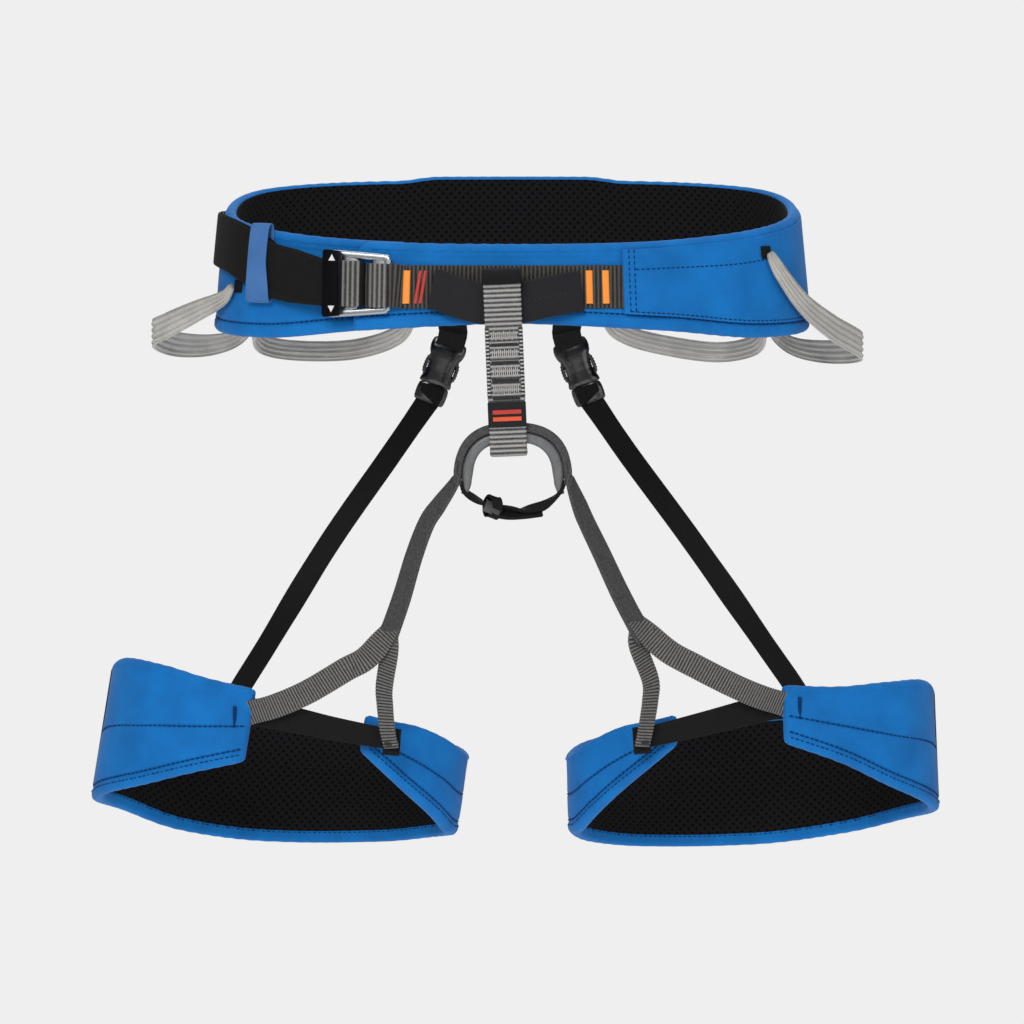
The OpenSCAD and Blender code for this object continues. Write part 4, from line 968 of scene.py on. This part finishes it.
def leaning(turn, first, last, length, tip=0.0):
    """Width direction of a strap that turns from one lean angle to another along its length."""
    t = np.radians(np.linspace(first, last, length))
    return np.stack([turn * np.cos(t), np.sin(t), tip * np.cos(t)], 1)


leg_straps = {
    "right": (-1, [[-39.5, -117, -138], [-45, -114.5, -146], [-53, -111, -158], [-61, -107, -179],
                   [-69, -103, -206], [-77, -99.5, -229]],
              [[-80, -98.5, -236], [-90, -97, -243.5], [-105, -96, -252.5], [-129, -94.5, -267.5],
               [-150, -93, -277.5], [-166, -90.5, -283]],
              [[-79.5, -98, -254], [-80.3, -96.8, -263], [-80, -95.5, -275], [-78.5, -94.3, -291],
               [-76, -93.5, -303]],
              [[-163, -86.5, -282], [-140, -85.5, -286.5], [-115, -84.5, -291.5], [-92, -84, -296],
               [-74, -84, -299]]),
    "left": (1, [[38, -117, -138], [41.5, -114.5, -146], [46.5, -111, -158], [56, -107, -178],
                 [67.5, -103, -203], [79, -99.5, -225]],
             [[85, -98.5, -232], [96, -97, -239], [116, -96, -250.5], [141, -94.5, -264], [158, -93, -272],
              [171, -90.5, -277]],
             [[85.5, -98, -250], [87, -96.8, -259], [87, -95.5, -272], [84.5, -94.3, -289],
              [82, -93.5, -302]],
             [[167, -86.5, -277.5], [146, -85.5, -283], [122, -84.5, -288.5], [100, -84, -294],
              [81, -84, -298.5]])}
for side, (sign, upper, outer, inner, elastic) in leg_straps.items():
    leg = f"leg_{side}"
    start = arch_point(np.array([sign * 74.0, sign * 84.0, sign * 90.0]), 7.2)
    points = np.vstack([start, upper[1:], outer[0]])
    lean = np.vstack([[[0, 1, 0]] * 2, leaning(sign, 75, 75, 1, 0.35), leaning(sign, 60, 44, 5, 0.35),
                      [[0.5 * sign, 0.2, 0.85]]])
    path, ups = smooth_path(points, 0.7, extra=lean)
    strap = webbing(f"leg_strap_{side}_woven", path, 16, 2.1, ups, ribs=0.16, pitch=1.7)
    fasten(strap, twill_grey, None, "grey_webbing", f"leg_strap_{side}")
    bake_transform(strap)
    tucked = [[outer[3][0], -91.5, outer[3][2]], [outer[4][0], -84, outer[4][2]],
              [outer[5][0], -76, outer[5][2]], [outer[5][0] + 11 * sign, -74, outer[5][2] - 4.5]]
    start = np.array([upper[-1], *outer[1:3]]) + [[-3.2 * sign, 0.5, 5.5], [0, -1.4, 0], [0, -1.9, 0]]
    lean = np.vstack([leaning(sign, 60, 60, 1, 0.35), [[0.5 * sign, 0, 0.85]] * 6])
    path, ups = smooth_path(np.vstack([start, tucked]), 0.7, extra=lean)
    fasten(webbing(f"leg_branch_outer_{side}_woven", path, 15.5, 1.9, ups, ribs=0.2, pitch=2.0),
           bind_grey, leg, "grey_webbing", f"leg_branch_outer_{side}")
    path = smooth_path(np.vstack([np.array(upper[-1]) + [0, 0.4, -2], np.array(upper[-1]) + [0, 0.5, -12],
                                  inner[1:]]), 0.7)
    fasten(webbing(f"leg_branch_inner_{side}_woven", path, np.linspace(15.5, 10.5, len(path)), 1.9,
                   leaning(sign, 44, 30, len(path)), ribs=0.2, pitch=2.0),
           bind_grey, leg, "grey_webbing", f"leg_branch_inner_{side}")
    path = smooth_path(np.vstack([[elastic[0][0] + sign * 14, -71.6, elastic[0][2] - 1],
                                  [elastic[0][0] - sign * 1, -73.2, elastic[0][2] - 1.5],
                                  [elastic[1][0], -80, elastic[1][2]], elastic[2:]]), 0.8)
    fasten(webbing(f"leg_elastic_{side}_knitted", path, np.linspace(19, 13, len(path)), 1.4, [0, 0, 1],
                   ribs=0.06, pitch=1.8), black_knit, leg, "black_elastic", f"leg_elastic_{side}")

# ---------------------------------------------------------------- leg pads
# Each leg loop is padded and faced like the belt, broad over the outside of the thigh and narrow inside it.
# Both edges are bound in blue, and the elastic spans the gap between its front ends.

leg_half_width, leg_half_depth, leg_round = 117, 69, 0.91
leg_angles = [6, 25, 45, 70, 90, 120, 150, 180, 215, 245, 270, 285, 300, 316, 328, 338]
leg_edges = {
    "right": ([-270, -263, -256, -255, -264, -286, -303, -311,
               -316, -319, -320, -315, -305, -295, -290, -285],
              [-312, -321, -331, -341, -350, -362, -380, -389,
               -387, -379, -372, -367, -354, -337, -321, -306]),
    "left": ([-266, -268, -267, -269, -279, -294, -303, -309,
              -314, -318, -321, -316, -306, -295, -290, -285],
             [-301, -315, -332, -347, -357, -368, -382, -391,
              -390, -382, -371, -366, -352, -333, -317, -302])}


def leg_ring_of(sign):
    """The thigh's outline on one side: x and y follow sin and cos of the angle to the power 0.91, and the wall
    leans out and back with height."""
    middle, lean = (156, 0.04) if sign > 0 else (150, 0.16)

    def ring(t, z, out):
        s, c = np.sin(np.radians(t)), np.cos(np.radians(t))
        dz = z + 330
        x = sign * (middle - lean * dz + (leg_half_width + out) * bent(s, leg_round))
        y = -12.5 + 0.12 * dz - (leg_half_depth + out) * bent(c, leg_round)
        return np.stack(np.broadcast_arrays(x, y, z + 0 * out * s), -1)
    return ring


def leg_edge(heights):
    """Height of a leg pad's edge at an angle, as a smooth curve through a few heights."""
    return lambda t: knots(t, leg_angles, heights)


def flat(t):
    """No overlap: the pad keeps to its middle line all the way round."""
    return 0 * t


for side, sign in (("right", -1), ("left", 1)):
    ring, leg = leg_ring_of(sign), f"leg_{side}"
    top, low = (leg_edge(heights) for heights in leg_edges[side])
    front = 9.2 if side == "right" else 7.2
    pad = padded_band(f"leg_pad_{side}", ring, front, 337, low, top, half_pad, flat,
                      [("low", 8.4, 0.9, 400), ("share", 0.5, 0.9, 400)], corner=(1.8, 2.4))
    fasten(pad, blue_shell, leg, "blue_shell", f"leg_shell_{side}", f"leg_foam_{side}")
    lining = sheet_on(f"leg_lining_{side}_mesh", ring, front + 1.2, 336, lambda t: low(t) + 7.6,
                      lambda t: top(t) - 1.3, lambda t: flat(t) - 4.1, lambda t: flat(t) - 2.9)
    fasten(lining, lining_mesh, leg, "mesh_lining", f"leg_lining_{side}")
    for edge, t0, t1, height, way, width, inside_width in (("bottom", front + 1.1, 336, low, 1, 6.4, 8.2),
                                                           ("top", front + 1.6, 335.5, top, -1, 3.4, 1.9)):
        tape = edge_tape(f"leg_{edge}_tape_{side}_sewn", ring, t0, t1, height, way, width, inside_width,
                         half_pad, flat)
        fasten(tape, blue_shell, leg, "blue_shell", f"leg_{edge}_tape_{side}")
    for name, share, off, t0, t1 in (("bind", 0, 5.0, front + 1.3, 335), ("low", 0, 8.4, front + 1.3, 335),
                                     ("middle", 0.5, 0, front + 1.3, 88),
                                     ("middle_inner", 0.5, 0, 252, 335)):
        fasten(seam_on(f"leg_seam_{name}_{side}", ring, t0, t1,
                       lambda t, share=share, off=off: low(t) + off + share * (top(t) - low(t)),
                       lambda t, off=off: 0 * t + half_pad + (0.72 if off == 5.0 else 0.25),
                       radius=seam_radius), thread_blue, leg, "blue_shell")
    fasten(seam_on(f"leg_seam_rim_{side}", ring, front + 1.3, 335, lambda t: low(t) + 6.6,
                   lambda t: 0 * t - half_pad - 0.5, side=-1, radius=0.4), thread_blue, leg, "blue_shell")
    panel = sheet_on(f"leg_back_panel_{side}_sewn", ring, 89, 251, lambda t: low(t) + 9.3,
                     lambda t: top(t) - 1.5, lambda t: 0 * t + half_pad - 0.3,
                     lambda t: 0 * t + half_pad + 0.95)
    fasten(panel, black_knit, leg, "black_elastic")
    _, _, outer, inner, _ = leg_straps[side]
    patch = np.array(inner[4]) + np.array([[-0.8 * sign, 5.6, 12], [-0.4 * sign, 5.4, 8], [0, 4.2, 1],
                                           [0.6 * sign, 3.2, -5]])
    patch = webbing(f"leg_patch_inner_{side}", smooth_path(patch, 0.7), 11, 1.2, [1, 0.1 * sign, 0.1],
                    ribs=0.04, pitch=1.8)
    fasten(patch, black_flat, leg, "black_elastic")
    spot = ring(front + 4.5, -287.0 if sign < 0 else -281.0, half_pad + 0.6)
    fasten(satin(f"leg_bartack_outer_{side}", spot, [1, 0, 0], [0, 0, 1], 2.2, 17), thread_blue, leg,
           "dark_thread", f"leg_bartacks_{side}")
    spot = np.array(inner[4]) - [0, 1.4, -3]
    fasten(satin(f"leg_bartack_inner_{side}", spot, [0, 0, 1], [-1, 0, 0], 2.4, 9), thread_black, leg,
           "dark_thread", f"leg_bartacks_{side}")

# ---------------------------------------------------------------- risers
# Elastic straps that keep the leg loops up behind. Each hangs from a tab on the belt by a moulded side-release
# clip, is sewn round the clip's lower bar, and ends under a patch on the back of the leg loop.

clip_tilt = 21
riser_route = {
    "left": [[53.5, 95.8, -98], [57, 94.5, -103], [80, 90, -136], [121, 79, -191], [167, 68, -256]],
    "right": [[-56.5, 95.8, -98], [-60, 94.5, -103], [-83, 90, -136], [-123, 80, -193], [-163, 68, -258]]}
for side, sign, clip, t_end in (("left", 1, [39, 94, -61], 154), ("right", -1, [-42, 94, -61], 153)):
    ring, leg, clip = leg_ring_of(sign), f"leg_{side}", np.array(clip, float)
    tab = np.array([[4.5, 27], [4.7, 19], [4.9, 10], [4.6, 4], [3.9, -0.2], [1.8, -1.6], [-0.3, -0.2],
                    [-0.9, 4], [-1, 10]])
    tilt = np.radians(-clip_tilt * sign)
    lean = tilt * (1 - ease((tab[:, 1] - 3) / 20))
    points = clip + np.stack([tab[:, 1] * np.sin(lean), tab[:, 0], tab[:, 1] * np.cos(lean)], 1)
    path, ups = smooth_path(points, 0.6, extra=np.stack([np.cos(lean), 0 * lean, -np.sin(lean)], 1))
    fasten(webbing(f"riser_tab_{side}_woven", path, 19, 1.7, ups, ribs=0.08, pitch=2.2), black_flat, "waist",
           "black_webbing", f"riser_tab_{side}")
    clip_x, clip_z = np.array([np.cos(tilt), 0, -np.sin(tilt)]), np.array([np.sin(tilt), 0, np.cos(tilt)])
    middle_line = clip + np.array([0, 1.8, 0])
    shapes = {"riser_socket": ([3.4, 2.6, 0, -3, -6, -9, -13, -18, -22, -25, -27, -28],
                               [20, 22.4, 24, 24.2, 23, 20.2, 18.4, 18, 19.4, 21.4, 22, 20.6],
                               [2.2, 3.6, 4.6, 5.8, 6.4, 6.6, 6.5, 6.4, 6.6, 6.8, 6.4, 4.6]),
              "riser_hook": ([-27, -28.2, -29, -32, -36, -39, -40.3, -40.8],
                             [16, 18.4, 20.4, 21.4, 21.4, 20.8, 19.6, 18],
                             [4.0, 4.6, 5.0, 5.2, 5.2, 4.8, 3.8, 2.6])}
    for node, (z, wide, thick) in shapes.items():
        at_z = np.linspace(z[0], z[-1], 60)
        body = rod(f"{node}_{side}_moulded", middle_line + clip_z * at_z[:, None],
                   np.interp(at_z, z[::-1], wide[::-1]), np.interp(at_z, z[::-1], thick[::-1]), clip_x)
        fasten(body, acetal, "waist", "black_plastic", f"{node}_{side}")
    for way in (-1, 1):
        prong = middle_line + clip_x * way * np.array([8.9, 10.2, 10.6, 10.4, 9.2])[:, None] \
            + clip_z * np.array([-9.5, -12, -16, -20, -22.5])[:, None]
        prong_path = smooth_path(prong, 0.5)
        grip = 2.6 + 0.5 * np.sin(lengths(prong_path) * 2 * np.pi / 1.9)
        fasten(rod(f"riser_prong_{side}_{'b' if way > 0 else 'a'}", prong_path, 3.6, grip, [0, 1, 0]),
               acetal, "waist", "black_plastic")
    on_leg = [ring(float(t), float(z), 6.0) for t, z in ((t_end + 9, -298), (t_end + 8, -322))]
    fold = middle_line + clip_z * np.array([-28.5, -31, -36])[:, None] \
        + np.array([[0, -2.9, 0], [0, -3.6, 0], [0, -3.7, 0]])
    path = smooth_path(np.vstack([fold, riser_route[side], on_leg]), 0.9)
    s = ease((np.linspace(-2, 30, len(path)) - 14) / 8)
    ups = np.stack([0.8 + 0 * s, sign * (0.26 - 0.65 * s), sign * 0.52 + 0 * s], 1)
    riser = webbing(f"riser_strap_{side}_knitted", path, 16.5 - 1.5 * ease(lengths(path) / 40), 1.4, ups,
                    ribs=0.05, pitch=1.8)
    fasten(riser, black_knit, None, "black_elastic", f"riser_strap_{side}")
    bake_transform(riser)
    anchor = sheet_on(f"riser_anchor_{side}_sewn", ring, t_end, t_end + 12, lambda t: 0 * t - 348,
                      lambda t: 0 * t - 326, lambda t: 0 * t + 3.4, lambda t: 0 * t + 5.0, rows=16)
    fasten(anchor, black_flat, leg, "black_webbing", f"riser_anchor_{side}")

# ---------------------------------------------------------------- light and camera
# A pale floor well below the harness, soft boxes, and a plain pale surround that lights it only dimly.

floor_paint, _, _ = new_material("matt_studio_floor", Roughness=0.9, Specular_IOR_Level=0.1,
                                 Base_Color=colour("#f0f0f0"), Emission_Color=colour("#efefef"),
                                 Emission_Strength=0.3)
mesh = bpy.data.meshes.new("floor")
mesh.from_pydata([(-5, -5, -1), (5, -5, -1), (5, 1.4, -1), (-5, 1.4, -1)], [], [(0, 1, 2, 3)])
mesh.materials.append(floor_paint)
floor = bpy.data.objects.new("floor", mesh)
bpy.context.scene.collection.objects.link(floor)

middle = Vector((0, 0, -0.16))
for name, place, size, power in (("key", (-0.7, -2.7, 1.5), 1.3, 50), ("fill", (1.6, -2.6, 0.4), 1.4, 9),
                                 ("top", (0.2, 0.6, 2.4), 1.6, 22), ("low", (0.0, -2.4, -0.9), 1.4, 5),
                                 ("back", (0.0, 2.6, 0.9), 1.6, 14)):
    light = bpy.data.lights.new(name, "AREA")
    light.size, light.energy = size, power
    lamp = bpy.data.objects.new(name, light)
    lamp.location = place
    lamp.rotation_euler = (middle - Vector(place)).to_track_quat("-Z", "Y").to_euler()
    bpy.context.scene.collection.objects.link(lamp)
world = bpy.data.worlds.new("soft_sky")
world.use_nodes = True
surround = world.node_tree.nodes["Background"]
surround.inputs["Color"].default_value = colour("#efefef")
ray = add(world.node_tree, "ShaderNodeLightPath")
seen = add(world.node_tree, "ShaderNodeMapRange", {"To Min": 0.38, "To Max": 1.0},
           {"Value": ray.outputs["Is Camera Ray"]})
world.node_tree.links.new(seen.outputs["Result"], surround.inputs["Strength"])
bpy.context.scene.world = world
bpy.context.scene.view_settings.view_transform = "Standard"

camera = bpy.data.objects.new("camera", bpy.data.cameras.new("camera"))
camera.data.lens, camera.data.sensor_width = 140.625, 36
camera.location, camera.rotation_euler = (0, -2.5858, 0.1088), (np.radians(84), 0, 0)
bpy.context.scene.collection.objects.link(camera)
bpy.context.scene.camera = camera
